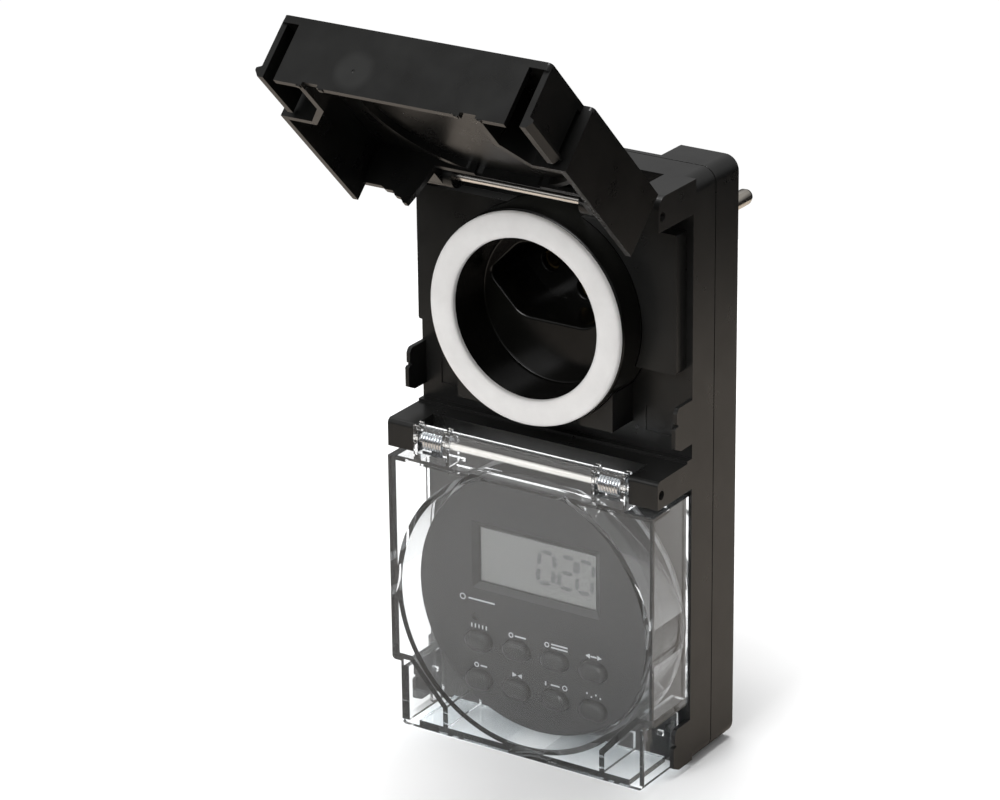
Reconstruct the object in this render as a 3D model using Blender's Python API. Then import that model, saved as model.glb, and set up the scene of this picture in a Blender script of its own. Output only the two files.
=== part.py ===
"""Splash-proof plug-in timer with a hexagonal three-pin socket, a black hinged socket lid
and a clear hinged cover over the timer.

Metres, +Z up, +X to the viewer's right, -Y towards the viewer.  Shapes are drawn in body
coordinates: X from the middle plane, Y back from the front flange, Z up from the underside.
One parent empty then moves the whole body so that the centre of the plug's face is the origin.
"""
import math

import bmesh
import bpy
from mathutils import Vector

# Housing
HALF_WIDTH = 0.0360
HEIGHT = 0.1415
CORNER_RADIUS = 0.0035
SEAM_Y = 0.0094
BACK_Y = 0.0194
WALL = 0.0020
GAP = 0.0003
RECESS_HALF_WIDTH = 0.0211
RECESS_BOTTOM_Z = 0.0740
RECESS_Y = 0.0110

# Socket side
SOCKET_Z = 0.1061
PANEL_Y = -0.0040
PANEL_HALF_WIDTH = 0.0342
PANEL_BOTTOM_Z = 0.0970
PANEL_TOP_Z = 0.1296
WELL_RADIUS = 0.0189
COLLAR_RADIUS = 0.0253
COLLAR_FRONT_Y = -0.0115
SEAL_FRONT_Y = -0.0133
SEAL_RADIUS = 0.02495
HEX_Z = 0.1103
HEX_HALF_WIDTH = 0.0176
HEX_HALF_HEIGHT = 0.0086
HEX_FLOOR_Y = 0.0135
CUP_FLOOR = 0.0016
PIN_SPACING = 0.0190
EARTH_DROP = 0.0050
PIN_RADIUS = 0.0020

# Plug side
PLUG_Z = 0.1128
PLUG_FACE_Y = 0.0510
PLUG_SHOULDER_Y = 0.0375
NECK_Z = PLUG_Z - (HEX_Z - SOCKET_Z)
NECK_RADIUS = 0.0182
BOWL_RADIUS = 0.0208
BOWL_BACK_Y = 0.0175
NOSE_HALF_WIDTH = 0.0168
NOSE_HALF_HEIGHT = 0.0080
PIN_LENGTH = 0.0190
PIN_ROOT_Y = 0.0359

# Hinges: both lids share the rod, the lug and the hood construction
LUG_INNER_X = 0.0285
LUG_FRONT_Y = -0.0146
ROD_RADIUS = 0.0010
ROD_HALF_LENGTH = 0.0352
PIVOT_Y = -0.0131
LID_PIVOT_Z = 0.1370
COVER_PIVOT_Z = 0.0722
LID_OPEN_ANGLE = math.radians(135.8)
UPPER_LUG_BOTTOM_Z = 0.1337
BRIDGE_BOTTOM_Z = 0.0690
BRIDGE_TOP_Z = 0.0757
BRIDGE_FRONT_Y = -0.0070
HOOK_DEPTH = 0.0072
HOOK_THICKNESS = 0.0010
HOOK_RANGES_Z = ((0.0798, 0.0903), (0.0012, 0.0118))

# Hoods
HOOD_WALL = 0.0014
HOOD_PLATE = 0.0018
HOOD_FRONT_Y = -0.0157
HOOD_RIM_Y = -0.0003
KNUCKLE_INNER_X = 0.0190
KNUCKLE_OUTER_X = 0.0282
CHEEK = 0.0012
TAB_OVERHANG = 0.0012
END_WALL_HALF_WIDTH = 0.0288
LIP_DEPTH = 0.0024
CHEEK_RADIUS = 0.0029
LINTEL_RISE = 0.0038
WEB_BACK_Y = -0.0145

# Socket lid: half widths, then heights of its hinge edge, step and latch edge when closed
LID_HALF_WIDTH = 0.0360
LID_TAB_WIDTH = 0.0335
LID_TOP_Z = 0.1317
LID_STEP_Z = 0.0948
LID_END_Z = 0.0777
LID_NECK = (0.0215, 0.0880, 0.0272)
LID_KNUCKLE_RIM_Y = -0.0042
LID_NOTCH_X = (0.0178, 0.0217)
LIP_NOTCH_HALF_WIDTH = 0.0085

# Clear cover, in the same order
COVER_HALF_WIDTH = 0.0354
COVER_TAB_WIDTH = 0.0329
COVER_TOP_Z = 0.0672
COVER_STEP_Z = 0.0157
COVER_END_Z = -0.0004
COVER_NECK = (0.0207, 0.0057, 0.0305)
COVER_KNUCKLE_RIM_Y = -0.0075
ROUND_WALL_RADII = (0.0329, 0.0343)
ROUND_WALL_RIM_Y = -0.0014
ROUND_WALL_SLOPE = ((ROUND_WALL_RIM_Y, 0.0400), (-0.0088, 0.0668))

# Torsion springs
SPRING_WIRE_RADIUS = 0.00032
SPRING_COIL_RADIUS = 0.0022
SPRING_TURNS = 7.5

# Timer
TIMER_Z = 0.0349
FACE_Y = -0.0080
FACE_RADIUS = 0.0322
FACE_THICKNESS = 0.0016
BUTTON_PITCH = 0.0104
BUTTON_ROWS_Z = (0.0224, 0.0125)
BUTTON_SIZE = (0.0072, 0.0048)
BUTTON_FRONT_Y = -0.0097
BUTTON_FLANGE_Y = (-0.0061, -0.0052)
RESET_CENTRE = (-0.0166, 0.0283)
RESET_RADIUS = 0.0007
LCD_Z = 0.0440
LCD_HALF_WIDTH = 0.0159
LCD_HALF_HEIGHT = 0.0070
LCD_PANEL_BOX = ((-0.0180, 0.0180), (-0.0061, -0.0033), (0.0355, 0.0525))
PANE_Y = (-0.0070, -0.0065)
KEYPAD_Y = (-0.0040, -0.0031)
TIMER_BOARD_RADIUS = FACE_RADIUS - 0.0032
TIMER_BOARD_Y = (-0.0027, -0.0011)
BACK_PLATE_RADIUS = FACE_RADIUS - 0.0024
BACK_PLATE_Y = (0.0012, 0.0024)
TIMER_FLANGE_Y = (0.0023, 0.0031)

# Electrical parts
SLEEVE_RADII = (0.0021, 0.0030)
SLEEVE_BACK_Y = 0.0343
LIVE_SLEEVE_BACK_Y = 0.0300
STRAP_THICKNESS = 0.0010
STRAP_TOP_Y = 0.0346
STRAP_TOP_Z = 0.1155
STRAP_LEVEL_Z = 0.0984
STRAP_LOW_Y = 0.0070
STRAP_LOW_Z = 0.0560
BOARD_FRONT_Y = 0.0044
BOARD_BACK_Y = 0.0060
POWER_BOARD_HALF_WIDTH = 0.0240
POWER_BOARD_Z = (0.0050, 0.0660)
LIVE_STRAP_X = (0.0078, 0.0112)
SWITCHED_STRAP_X = (0.0034, 0.0062)
SWITCHED_STRAP_TOP_Y = 0.0240
SWITCHED_STRAP_TOP_Z = 0.1120
SWITCHED_STRAP_LEVEL_Z = STRAP_LEVEL_Z + 0.0012
EARTH_LINK_HALF_WIDTH = 0.0025
EARTH_LINK_Z = (0.1030, 0.1100)
RELAY_BOX = ((-0.0220, 0.0070), (0.0084, 0.0164), (0.0380, 0.0530))
FILM_CAPACITOR_BOX = ((-0.0210, -0.0030), (BOARD_BACK_Y + GAP, 0.0160), (0.0240, 0.0320))
CAN_CENTRE = (0.0120, 0.0270)
CAN_RADIUS = 0.0050
CAN_BACK_Y = 0.0165
BATTERY_CENTRE = (-0.0120, 0.0130)
BATTERY_RADIUS = 0.0078
BATTERY_BACK_Y = 0.0117

# Shell screws
SCREW_SHANK_RADIUS = 0.0013
SCREW_HEAD_RADIUS = 0.0028
SCREW_HOLE_RADIUS = 0.0016
SCREW_SINK = 0.0030
SCREW_PLACES = ((-0.0303, 0.0049), (0.0303, 0.0049), (-0.0290, 0.1340), (0.0290, 0.1340))


# ---------------------------------------------------------------- materials

def make_material(name, colour, roughness, metallic=0.0, alpha=1.0):
    """Principled material with one colour."""
    material = bpy.data.materials.new(name)
    material.use_nodes = True
    shader = material.node_tree.nodes["Principled BSDF"]
    shader.inputs["Base Color"].default_value = (*colour, 1.0)
    shader.inputs["Roughness"].default_value = roughness
    shader.inputs["Metallic"].default_value = metallic
    shader.inputs["Alpha"].default_value = alpha
    material.diffuse_color = (*colour, alpha)
    return material


# ---------------------------------------------------------------- outlines

def arc(centre, radius, start, end, steps):
    """Points along a circular arc, angles in degrees, both ends included."""
    points = []
    for step in range(steps + 1):
        angle = math.radians(start + (end - start) * step / steps)
        points.append((centre[0] + radius * math.cos(angle), centre[1] + radius * math.sin(angle)))
    return points


def circle(centre, radius, steps):
    """Closed circle outline."""
    return arc(centre, radius, 0.0, 360.0, steps)[:-1]


def rounded_rectangle(half_width, low, high, radius, steps=4):
    """Rectangle about the middle plane with four rounded corners."""
    inner = half_width - radius
    points = arc((inner, high - radius), radius, 0, 90, steps)
    points += arc((-inner, high - radius), radius, 90, 180, steps)
    points += arc((-inner, low + radius), radius, 180, 270, steps)
    points += arc((inner, low + radius), radius, 270, 360, steps)
    return points


def hexagon(half_width, half_height, centre_z):
    """Flat-topped hexagon with points left and right and sloping sides at 45 degrees."""
    flat = half_width - half_height
    return [
        (half_width, centre_z),
        (flat, centre_z + half_height),
        (-flat, centre_z + half_height),
        (-half_width, centre_z),
        (-flat, centre_z - half_height),
        (flat, centre_z - half_height),
    ]


def mirrored(points):
    """The same outline reflected in the middle plane."""
    return [(-x, other) for x, other in reversed(points)]


# ---------------------------------------------------------------- solids

def mesh_object(shape, name="piece"):
    """Turn a bmesh into an object with outward faces."""
    bmesh.ops.recalc_face_normals(shape, faces=shape.faces)
    mesh = bpy.data.meshes.new(name)
    shape.to_mesh(mesh)
    shape.free()
    piece = bpy.data.objects.new(name, mesh)
    bpy.context.scene.collection.objects.link(piece)
    return piece


def extrude(points, low, high, place):
    """Extrude a closed outline between two stations; place(a, b, station) gives the position."""
    shape = bmesh.new()
    rings = []
    for station in (low, high):
        rings.append([shape.verts.new(place(a, b, station)) for a, b in points])
    shape.faces.new(rings[0])
    shape.faces.new(rings[1])
    count = len(points)
    for index in range(count):
        after = (index + 1) % count
        shape.faces.new((rings[0][index], rings[0][after], rings[1][after], rings[1][index]))
    return mesh_object(shape)


def prism_y(points, front, back):
    """Outline in X and Z, extruded along Y."""
    return extrude(points, front, back, lambda a, b, station: (a, station, b))


def prism_x(points, left, right):
    """Outline in Y and Z, extruded along X."""
    return extrude(points, left, right, lambda a, b, station: (station, a, b))


def box(x_range, y_range, z_range):
    """Axis-aligned block."""
    (x0, x1), (z0, z1) = x_range, z_range
    return prism_y([(x0, z0), (x1, z0), (x1, z1), (x0, z1)], *y_range)


def disc_y(centre, radius, front, back, steps=32):
    """Round bar along Y."""
    return prism_y(circle(centre, radius, steps), front, back)


def disc_x(centre, radius, left, right, steps=24):
    """Round bar along X; centre is (y, z)."""
    return prism_x(circle(centre, radius, steps), left, right)


def turned(profile, centre, steps=48):
    """Spin a closed (radius, y) profile about a line along Y through centre (x, z)."""
    shape = bmesh.new()
    rings = []
    for step in range(steps):
        angle = 2.0 * math.pi * step / steps
        ring = []
        for radius, y in profile:
            x = centre[0] + radius * math.cos(angle)
            z = centre[1] + radius * math.sin(angle)
            ring.append(shape.verts.new((x, y, z)))
        rings.append(ring)
    count = len(profile)
    for step in range(steps):
        here, there = rings[step], rings[(step + 1) % steps]
        for index in range(count):
            after = (index + 1) % count
            shape.faces.new((here[index], here[after], there[after], there[index]))
    return mesh_object(shape)


def combine(target, tool, operation):
    """Apply one exact boolean and remove the tool."""
    modifier = target.modifiers.new(operation, "BOOLEAN")
    modifier.operation = operation
    modifier.solver = "EXACT"
    modifier.object = tool
    graph = bpy.context.evaluated_depsgraph_get()
    result = bpy.data.meshes.new_from_object(target.evaluated_get(graph))
    target.modifiers.clear()
    spent = target.data
    target.data = result
    bpy.data.meshes.remove(spent)
    bpy.data.objects.remove(tool)
    return target


def unite(target, *tools):
    """Join solids that overlap into one body."""
    for tool in tools:
        combine(target, tool, "UNION")
    return target


def cut(target, *tools):
    """Take solids away from the target."""
    for tool in tools:
        combine(target, tool, "DIFFERENCE")
    return target


def finish(piece, name, material, root, origin=(0.0, 0.0, 0.0), tilt=0.0, smooth=True):
    """Name the piece, move its origin to a body point, tilt it about X and parent it."""
    shift = Vector(origin)
    for vertex in piece.data.vertices:
        vertex.co -= shift
    piece.name = name
    piece.data.name = name
    piece.data.materials.clear()
    piece.data.materials.append(material)
    if smooth:
        piece.data.shade_smooth()
        piece.data.set_sharp_from_angle(angle=math.radians(35.0))
    piece.parent = root
    piece.location = shift
    piece.rotation_euler = (tilt, 0.0, 0.0)
    return piece


# ---------------------------------------------------------------- housing shells

def hook(side, low_z, high_z):
    """Latch hook that stands forward from the flange, level with the side wall."""
    chamfer, root = 0.0012, WALL / 2
    outline = [
        (root, low_z),
        (-HOOK_DEPTH + 2 * chamfer, low_z),
        (-HOOK_DEPTH, low_z + chamfer),
        (-HOOK_DEPTH, high_z - chamfer / 2),
        (-HOOK_DEPTH + chamfer / 2, high_z),
        (root, high_z),
    ]
    inner = side * (HALF_WIDTH - HOOK_THICKNESS)
    outer = side * HALF_WIDTH
    return prism_x(outline, min(inner, outer), max(inner, outer))


def lug(side, low_z, high_z, round_radius):
    """Hinge lug with a rounded upper front edge."""
    bend = (LUG_FRONT_Y + round_radius, high_z - round_radius)
    outline = [(WALL / 2, low_z), (LUG_FRONT_Y, low_z)]
    outline += arc(bend, round_radius, 180, 90, 4)
    outline += [(WALL / 2, high_z)]
    inner, outer = side * LUG_INNER_X, side * HALF_WIDTH
    return prism_x(outline, min(inner, outer), max(inner, outer))


def make_front_housing():
    """Front shell: side walls, flange, raised socket panel, lugs, bridge and latch hooks."""
    upper_round, bridge_round, boss_radius = 0.0028, 0.0009, 0.0030
    back = SEAM_Y - GAP / 2
    shell = prism_y(rounded_rectangle(HALF_WIDTH, 0.0, HEIGHT, CORNER_RADIUS), 0.0, back)
    inside = rounded_rectangle(HALF_WIDTH - WALL, WALL, HEIGHT - WALL, CORNER_RADIUS - WALL)
    cut(shell, prism_y(inside, WALL, SEAM_Y + WALL))
    panel = (PANEL_BOTTOM_Z, PANEL_TOP_Z)
    unite(shell, box((-PANEL_HALF_WIDTH, PANEL_HALF_WIDTH), (PANEL_Y, WALL / 2), panel))
    bridge = (BRIDGE_BOTTOM_Z, BRIDGE_TOP_Z)
    unite(shell, box((-HALF_WIDTH, HALF_WIDTH), (BRIDGE_FRONT_Y, WALL / 2), bridge))
    for side in (-1, 1):
        unite(shell, lug(side, UPPER_LUG_BOTTOM_Z, HEIGHT, upper_round))
        unite(shell, lug(side, BRIDGE_BOTTOM_Z, BRIDGE_TOP_Z, bridge_round))
        for low_z, high_z in HOOK_RANGES_Z:
            unite(shell, hook(side, low_z, high_z))
    for x, z in SCREW_PLACES:
        unite(shell, disc_y((x, z), boss_radius, WALL / 2, back, 16))
        cut(shell, disc_y((x, z), SCREW_HOLE_RADIUS, 2 * WALL, SEAM_Y + WALL, 12))
    for pivot_z in (LID_PIVOT_Z, COVER_PIVOT_Z):
        cut(shell, disc_x((PIVOT_Y, pivot_z), ROD_RADIUS + GAP, -2 * HALF_WIDTH, 2 * HALF_WIDTH, 16))
    cut(shell, disc_y((0, SOCKET_Z), COLLAR_RADIUS + GAP, 4 * PANEL_Y, SEAM_Y, 64))
    cut(shell, disc_y((0, TIMER_Z), FACE_RADIUS + GAP, 4 * PANEL_Y, SEAM_Y, 64))
    return shell


def make_rear_housing():
    """Rear shell with two hollow side rails and a recess between them for the plug."""
    front = SEAM_Y + GAP / 2
    boss_radius, passage_radius = 0.0042, 0.0205
    passage_z = SOCKET_Z + WALL
    shell = prism_y(rounded_rectangle(HALF_WIDTH, 0.0, HEIGHT, CORNER_RADIUS), front, BACK_Y)
    lower_inside = [
        (HALF_WIDTH - WALL, WALL),
        (HALF_WIDTH - WALL, HEIGHT - WALL),
        (RECESS_HALF_WIDTH + WALL, HEIGHT - WALL),
        (RECESS_HALF_WIDTH + WALL, RECESS_BOTTOM_Z - WALL),
    ]
    outline = lower_inside + [(-x, z) for x, z in reversed(lower_inside)]
    cut(shell, prism_y(outline, SEAM_Y - WALL, BACK_Y - WALL))
    recess = (RECESS_BOTTOM_Z, HEIGHT + WALL)
    cut(shell, box((-RECESS_HALF_WIDTH, RECESS_HALF_WIDTH), (RECESS_Y, BACK_Y + WALL), recess))
    for x, z in SCREW_PLACES:
        unite(shell, disc_y((x, z), boss_radius, front, BACK_Y - WALL / 2, 16))
        cut(shell, disc_y((x, z), SCREW_HOLE_RADIUS, SEAM_Y - WALL, BACK_Y + WALL, 12))
        sink = (BACK_Y - SCREW_SINK, BACK_Y + WALL)
        cut(shell, disc_y((x, z), SCREW_HEAD_RADIUS + 0.0004, *sink, 16))
    cut(shell, disc_y((0, passage_z), passage_radius, SEAM_Y - WALL, RECESS_Y + WALL, 48))
    return shell


# ---------------------------------------------------------------- socket and plug

def pin_places(centre_z):
    """Positions (x, z) of neutral, live and earth, seen from the front."""
    half = PIN_SPACING / 2
    return [(-half, centre_z), (half, centre_z), (0.0, centre_z - EARTH_DROP)]


def make_socket_insert():
    """Collar, well and hexagonal cup with three pin holes."""
    floor_back = 0.0020
    flange = (0.0023, 0.0043)
    flange_width, wall, lip_back = 0.0022, 0.0015, -0.0098
    edge, bore = 0.0004, PIN_RADIUS + 0.00025
    outer = [
        (0.0, floor_back),
        (0.0, 0.0),
        (WELL_RADIUS, 0.0),
        (WELL_RADIUS, COLLAR_FRONT_Y),
        (COLLAR_RADIUS - edge, COLLAR_FRONT_Y),
        (COLLAR_RADIUS, COLLAR_FRONT_Y + edge),
        (COLLAR_RADIUS, flange[0]),
        (COLLAR_RADIUS + flange_width, flange[0]),
        (COLLAR_RADIUS + flange_width, flange[1]),
        (COLLAR_RADIUS - wall, flange[1]),
        (COLLAR_RADIUS - wall, lip_back),
        (WELL_RADIUS + wall, lip_back),
        (WELL_RADIUS + wall, floor_back),
    ]
    insert = lathe(outer, (0, SOCKET_Z))
    cup_back = HEX_FLOOR_Y + CUP_FLOOR
    grow = 0.0014
    cup = hexagon(HEX_HALF_WIDTH + grow, HEX_HALF_HEIGHT + grow, HEX_Z)
    unite(insert, prism_y(cup, floor_back / 2, cup_back))
    recess = hexagon(HEX_HALF_WIDTH, HEX_HALF_HEIGHT, HEX_Z)
    cut(insert, prism_y(recess, -WALL, HEX_FLOOR_Y))
    for place in pin_places(HEX_Z):
        cut(insert, disc_y(place, bore, HEX_FLOOR_Y - WALL, cup_back + WALL, 20))
    return insert


def lathe(profile, centre, steps=64):
    """Spin an open-centred profile whose first two points lie on the axis."""
    shape = bmesh.new()
    low, high = profile[0][1], profile[1][1]
    ends = (shape.verts.new((centre[0], low, centre[1])), shape.verts.new((centre[0], high, centre[1])))
    rings = []
    for step in range(steps):
        angle = 2.0 * math.pi * step / steps
        ring = []
        for radius, y in profile[2:]:
            x = centre[0] + radius * math.cos(angle)
            z = centre[1] + radius * math.sin(angle)
            ring.append(shape.verts.new((x, y, z)))
        rings.append(ring)
    for step in range(steps):
        here, there = rings[step], rings[(step + 1) % steps]
        shape.faces.new((ends[1], here[0], there[0]))
        for index in range(len(here) - 1):
            shape.faces.new((here[index], here[index + 1], there[index + 1], there[index]))
        shape.faces.new((here[-1], ends[0], there[-1]))
    return mesh_object(shape)


def make_collar_seal():
    """Soft ring on the front of the collar, with a domed face."""
    middle = (WELL_RADIUS + SEAL_RADIUS) / 2
    half = (SEAL_RADIUS - WELL_RADIUS) / 2
    back = COLLAR_FRONT_Y - GAP
    rise = back - GAP - SEAL_FRONT_Y
    profile = [(middle + half, back), (middle - half, back)]
    for x, y in arc((0.0, 0.0), 1.0, 180, 0, 8):
        profile.append((middle + half * x, back - GAP - rise * y))
    return turned(profile, (0, SOCKET_Z), 64)


def make_sleeve(place, back):
    """Spring contact sleeve behind one pin hole."""
    front = HEX_FLOOR_Y + CUP_FLOOR + GAP
    inner, outer = SLEEVE_RADII
    profile = [(inner, front), (outer, front), (outer, back), (inner, back)]
    return turned(profile, place, 20)


def make_plug_body():
    """Bowl on the recess floor and round neck, closed at the back where the pins pass."""
    front = RECESS_Y + GAP
    bowl_wall, neck_wall, bowl_floor = 0.0014, 0.0017, 0.0015
    body = disc_y((0, NECK_Z), BOWL_RADIUS, front, BOWL_BACK_Y, 48)
    unite(body, disc_y((0, NECK_Z), NECK_RADIUS, BOWL_BACK_Y - WALL, PLUG_SHOULDER_Y, 48))
    bowl = (front - WALL, BOWL_BACK_Y - bowl_floor)
    cut(body, disc_y((0, NECK_Z), BOWL_RADIUS - bowl_wall, *bowl, 48))
    cut(body, disc_y((0, NECK_Z), NECK_RADIUS - neck_wall, front, PIN_ROOT_Y - GAP, 48))
    for place in pin_places(PLUG_Z):
        cut(body, disc_y(place, PIN_RADIUS + GAP, PIN_ROOT_Y - WALL, PLUG_FACE_Y, 20))
    return body


def make_plug_nose():
    """Hexagonal pin carrier on the end of the neck."""
    outline = hexagon(NOSE_HALF_WIDTH, NOSE_HALF_HEIGHT, PLUG_Z)
    nose = prism_y(outline, PLUG_SHOULDER_Y + GAP, PLUG_FACE_Y)
    for place in pin_places(PLUG_Z):
        cut(nose, disc_y(place, PIN_RADIUS + GAP, PLUG_SHOULDER_Y, PLUG_FACE_Y + WALL, 20))
    return nose


def make_plug_seal():
    """Soft ring round the neck, on the back of the bowl."""
    base, tip = BOWL_BACK_Y + GAP, BOWL_BACK_Y + 0.0021
    inner, outer = NECK_RADIUS + 0.0004, BOWL_RADIUS - 0.0002
    profile = [(inner, base), (outer, base), (outer - GAP, tip), (inner + GAP, tip)]
    return turned(profile, (0, NECK_Z), 48)


def make_plug_pin(place):
    """Round pin with a tapered tip."""
    tip = PLUG_FACE_Y + PIN_LENGTH
    pin = disc_y(place, PIN_RADIUS, PIN_ROOT_Y, tip, 20)
    taper = bmesh.new()
    taper.from_mesh(pin.data)
    centre = Vector((place[0], tip, place[1]))
    loops = [edge for edge in taper.edges if all(abs(v.co.y - tip) < 1e-6 for v in edge.verts)]
    bmesh.ops.bevel(taper, geom=loops, offset=0.0009, segments=2, affect="EDGES")
    for vertex in taper.verts:
        if vertex.co.y > tip:
            vertex.co = centre
    taper.to_mesh(pin.data)
    taper.free()
    return pin


def make_strap(x_range, top_z, top_y, level_z):
    """Brass strip: down behind the sleeves, forward under the cup, down to the power board."""
    outline = [
        (top_y, top_z),
        (top_y, level_z),
        (STRAP_LOW_Y, level_z),
        (STRAP_LOW_Y, STRAP_LOW_Z),
        (STRAP_LOW_Y + STRAP_THICKNESS, STRAP_LOW_Z),
        (STRAP_LOW_Y + STRAP_THICKNESS, level_z - STRAP_THICKNESS),
        (top_y + STRAP_THICKNESS, level_z - STRAP_THICKNESS),
        (top_y + STRAP_THICKNESS, top_z),
    ]
    return prism_x(outline, *x_range)


# ---------------------------------------------------------------- hinged hoods

def hood_outline(half_width, tab_width, top_z, step_z, end_z):
    """Front plate: wide part by the hinge, narrower part by the latch."""
    edge = 0.0010
    right = arc((tab_width - edge, end_z + edge), edge, 270, 360, 2)
    right += [(tab_width, step_z)]
    right += arc((half_width - edge, step_z + edge), edge, 270, 360, 2)
    right += [(half_width, top_z)]
    return right + mirrored(right)


def hood_walls(half_width, top_z, step_z, end_z, neck):
    """Outlines of the straight wall lengths on the right side, then the two cross walls."""
    neck_x, bend_z, shoulder_x = neck
    wall = HOOD_WALL
    slope = wall * 0.42
    side = [
        (half_width - wall, step_z),
        (half_width, step_z),
        (half_width, top_z),
        (half_width - wall, top_z),
    ]
    inner = [
        (half_width - wall / 2, step_z + wall),
        (shoulder_x, step_z + wall),
        (neck_x, bend_z + slope),
        (neck_x, end_z + wall / 2),
        (neck_x + wall, end_z + wall / 2),
        (neck_x + wall, bend_z),
        (shoulder_x + slope, step_z),
        (half_width - wall / 2, step_z),
    ]
    end = [
        (-END_WALL_HALF_WIDTH, end_z),
        (END_WALL_HALF_WIDTH, end_z),
        (END_WALL_HALF_WIDTH, end_z + wall),
        (-END_WALL_HALF_WIDTH, end_z + wall),
    ]
    return [side, mirrored(side), inner, mirrored(inner), end]


def snap_tab(side, tab_width, low_z, high_z):
    """Flexible tab of the hood's latch end, with an outward wedge along its rim."""
    wall = HOOD_WALL
    outer, rim, plate = tab_width, HOOD_RIM_Y - 0.0004, HOOD_FRONT_Y + HOOD_PLATE / 2
    outline = [
        (outer - wall, plate),
        (outer, plate),
        (outer, rim - 0.0026),
        (outer + TAB_OVERHANG, rim - 0.0020),
        (outer + TAB_OVERHANG, rim - 0.0014),
        (outer, rim),
        (outer - wall, rim),
    ]
    if side < 0:
        outline = mirrored(outline)
    return extrude(outline, low_z, high_z, lambda a, b, station: (a, b, station))


def cheek_outline(pivot_z, top_z, lintel_z):
    """Hinge cheek in Y and Z: round at the back of the rod, level with the plate in front."""
    outline = [(HOOD_FRONT_Y, top_z - HOOD_WALL), (HOOD_FRONT_Y, lintel_z)]
    outline += [(PIVOT_Y + GAP, lintel_z)]
    outline += arc((PIVOT_Y, pivot_z), CHEEK_RADIUS, 80, -10, 6)
    outline += [(PIVOT_Y + CHEEK_RADIUS, top_z - HOOD_WALL)]
    return outline


def make_hood(pivot_z, half_width, tab_width, top_z, step_z, end_z, neck, hinge_wall_rim_y, spring_space):
    """Box-shaped hood with hinge knuckles at the top and snap tabs at the latch end."""
    plate_back = HOOD_FRONT_Y + HOOD_PLATE
    outline = hood_outline(half_width, tab_width, top_z, step_z, end_z)
    hood = prism_y(outline, HOOD_FRONT_Y, plate_back)
    for wall in hood_walls(half_width, top_z, step_z, end_z, neck):
        unite(hood, prism_y(wall, HOOD_FRONT_Y + HOOD_PLATE / 2, HOOD_RIM_Y))
    hinge_wall = (top_z - HOOD_WALL, top_z)
    side_x = half_width - HOOD_WALL / 2
    unite(hood, box((-side_x, side_x), (plate_back - HOOD_WALL, plate_back + LIP_DEPTH), hinge_wall))
    lintel_z = pivot_z + LINTEL_RISE
    strip_top = pivot_z - LINTEL_RISE + 0.0010 if spring_space else lintel_z
    for side in (-1, 1):
        ends = sorted((side * KNUCKLE_INNER_X, side * side_x))
        unite(hood, box(ends, (plate_back - HOOD_WALL, hinge_wall_rim_y), hinge_wall))
        strip = sorted((side * KNUCKLE_INNER_X, side * KNUCKLE_OUTER_X))
        unite(hood, box(strip, (HOOD_FRONT_Y, plate_back), (top_z - HOOD_WALL, strip_top)))
        cheeks = [(KNUCKLE_INNER_X, KNUCKLE_OUTER_X)]
        if spring_space:
            cheeks = [
                (KNUCKLE_INNER_X, KNUCKLE_INNER_X + CHEEK),
                (KNUCKLE_OUTER_X - CHEEK, KNUCKLE_OUTER_X),
            ]
        for inner, outer in cheeks:
            left, right = sorted((side * inner, side * outer))
            unite(hood, prism_x(cheek_outline(pivot_z, top_z, lintel_z), left, right))
        unite(hood, snap_tab(side, tab_width, end_z + 0.0006, step_z - 0.0016))
    web_x = KNUCKLE_INNER_X + CHEEK / 2
    unite(hood, box((-web_x, web_x), (HOOD_FRONT_Y, WEB_BACK_Y), (top_z - HOOD_WALL, lintel_z)))
    lintel = (lintel_z - 0.0010, lintel_z)
    unite(hood, box((-KNUCKLE_OUTER_X, KNUCKLE_OUTER_X), (HOOD_FRONT_Y, plate_back), lintel))
    return hood


def bore_knuckles(hood, pivot_z):
    """Running holes for the hinge rod."""
    return cut(hood, disc_x((PIVOT_Y, pivot_z), ROD_RADIUS + GAP, -HALF_WIDTH, HALF_WIDTH, 16))


def make_socket_lid():
    """Black lid over the socket, drawn closed."""
    widths = (LID_HALF_WIDTH, LID_TAB_WIDTH)
    heights = (LID_TOP_Z, LID_STEP_Z, LID_END_Z)
    lid = make_hood(LID_PIVOT_Z, *widths, *heights, LID_NECK, LID_KNUCKLE_RIM_Y, False)
    for side in (-1, 1):
        notch = sorted((side * LID_NOTCH_X[0], side * LID_NOTCH_X[1]))
        depth = (HOOD_RIM_Y - 0.0008, WALL)
        cut(lid, box(notch, depth, (LID_END_Z - WALL, LID_END_Z + WALL)))
    lip = (HOOD_FRONT_Y + HOOD_PLATE, PIVOT_Y + LIP_DEPTH)
    room = (-LIP_NOTCH_HALF_WIDTH, LIP_NOTCH_HALF_WIDTH)
    cut(lid, box(room, lip, (LID_TOP_Z - WALL, LID_TOP_Z + GAP)))
    return bore_knuckles(lid, LID_PIVOT_Z)


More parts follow.
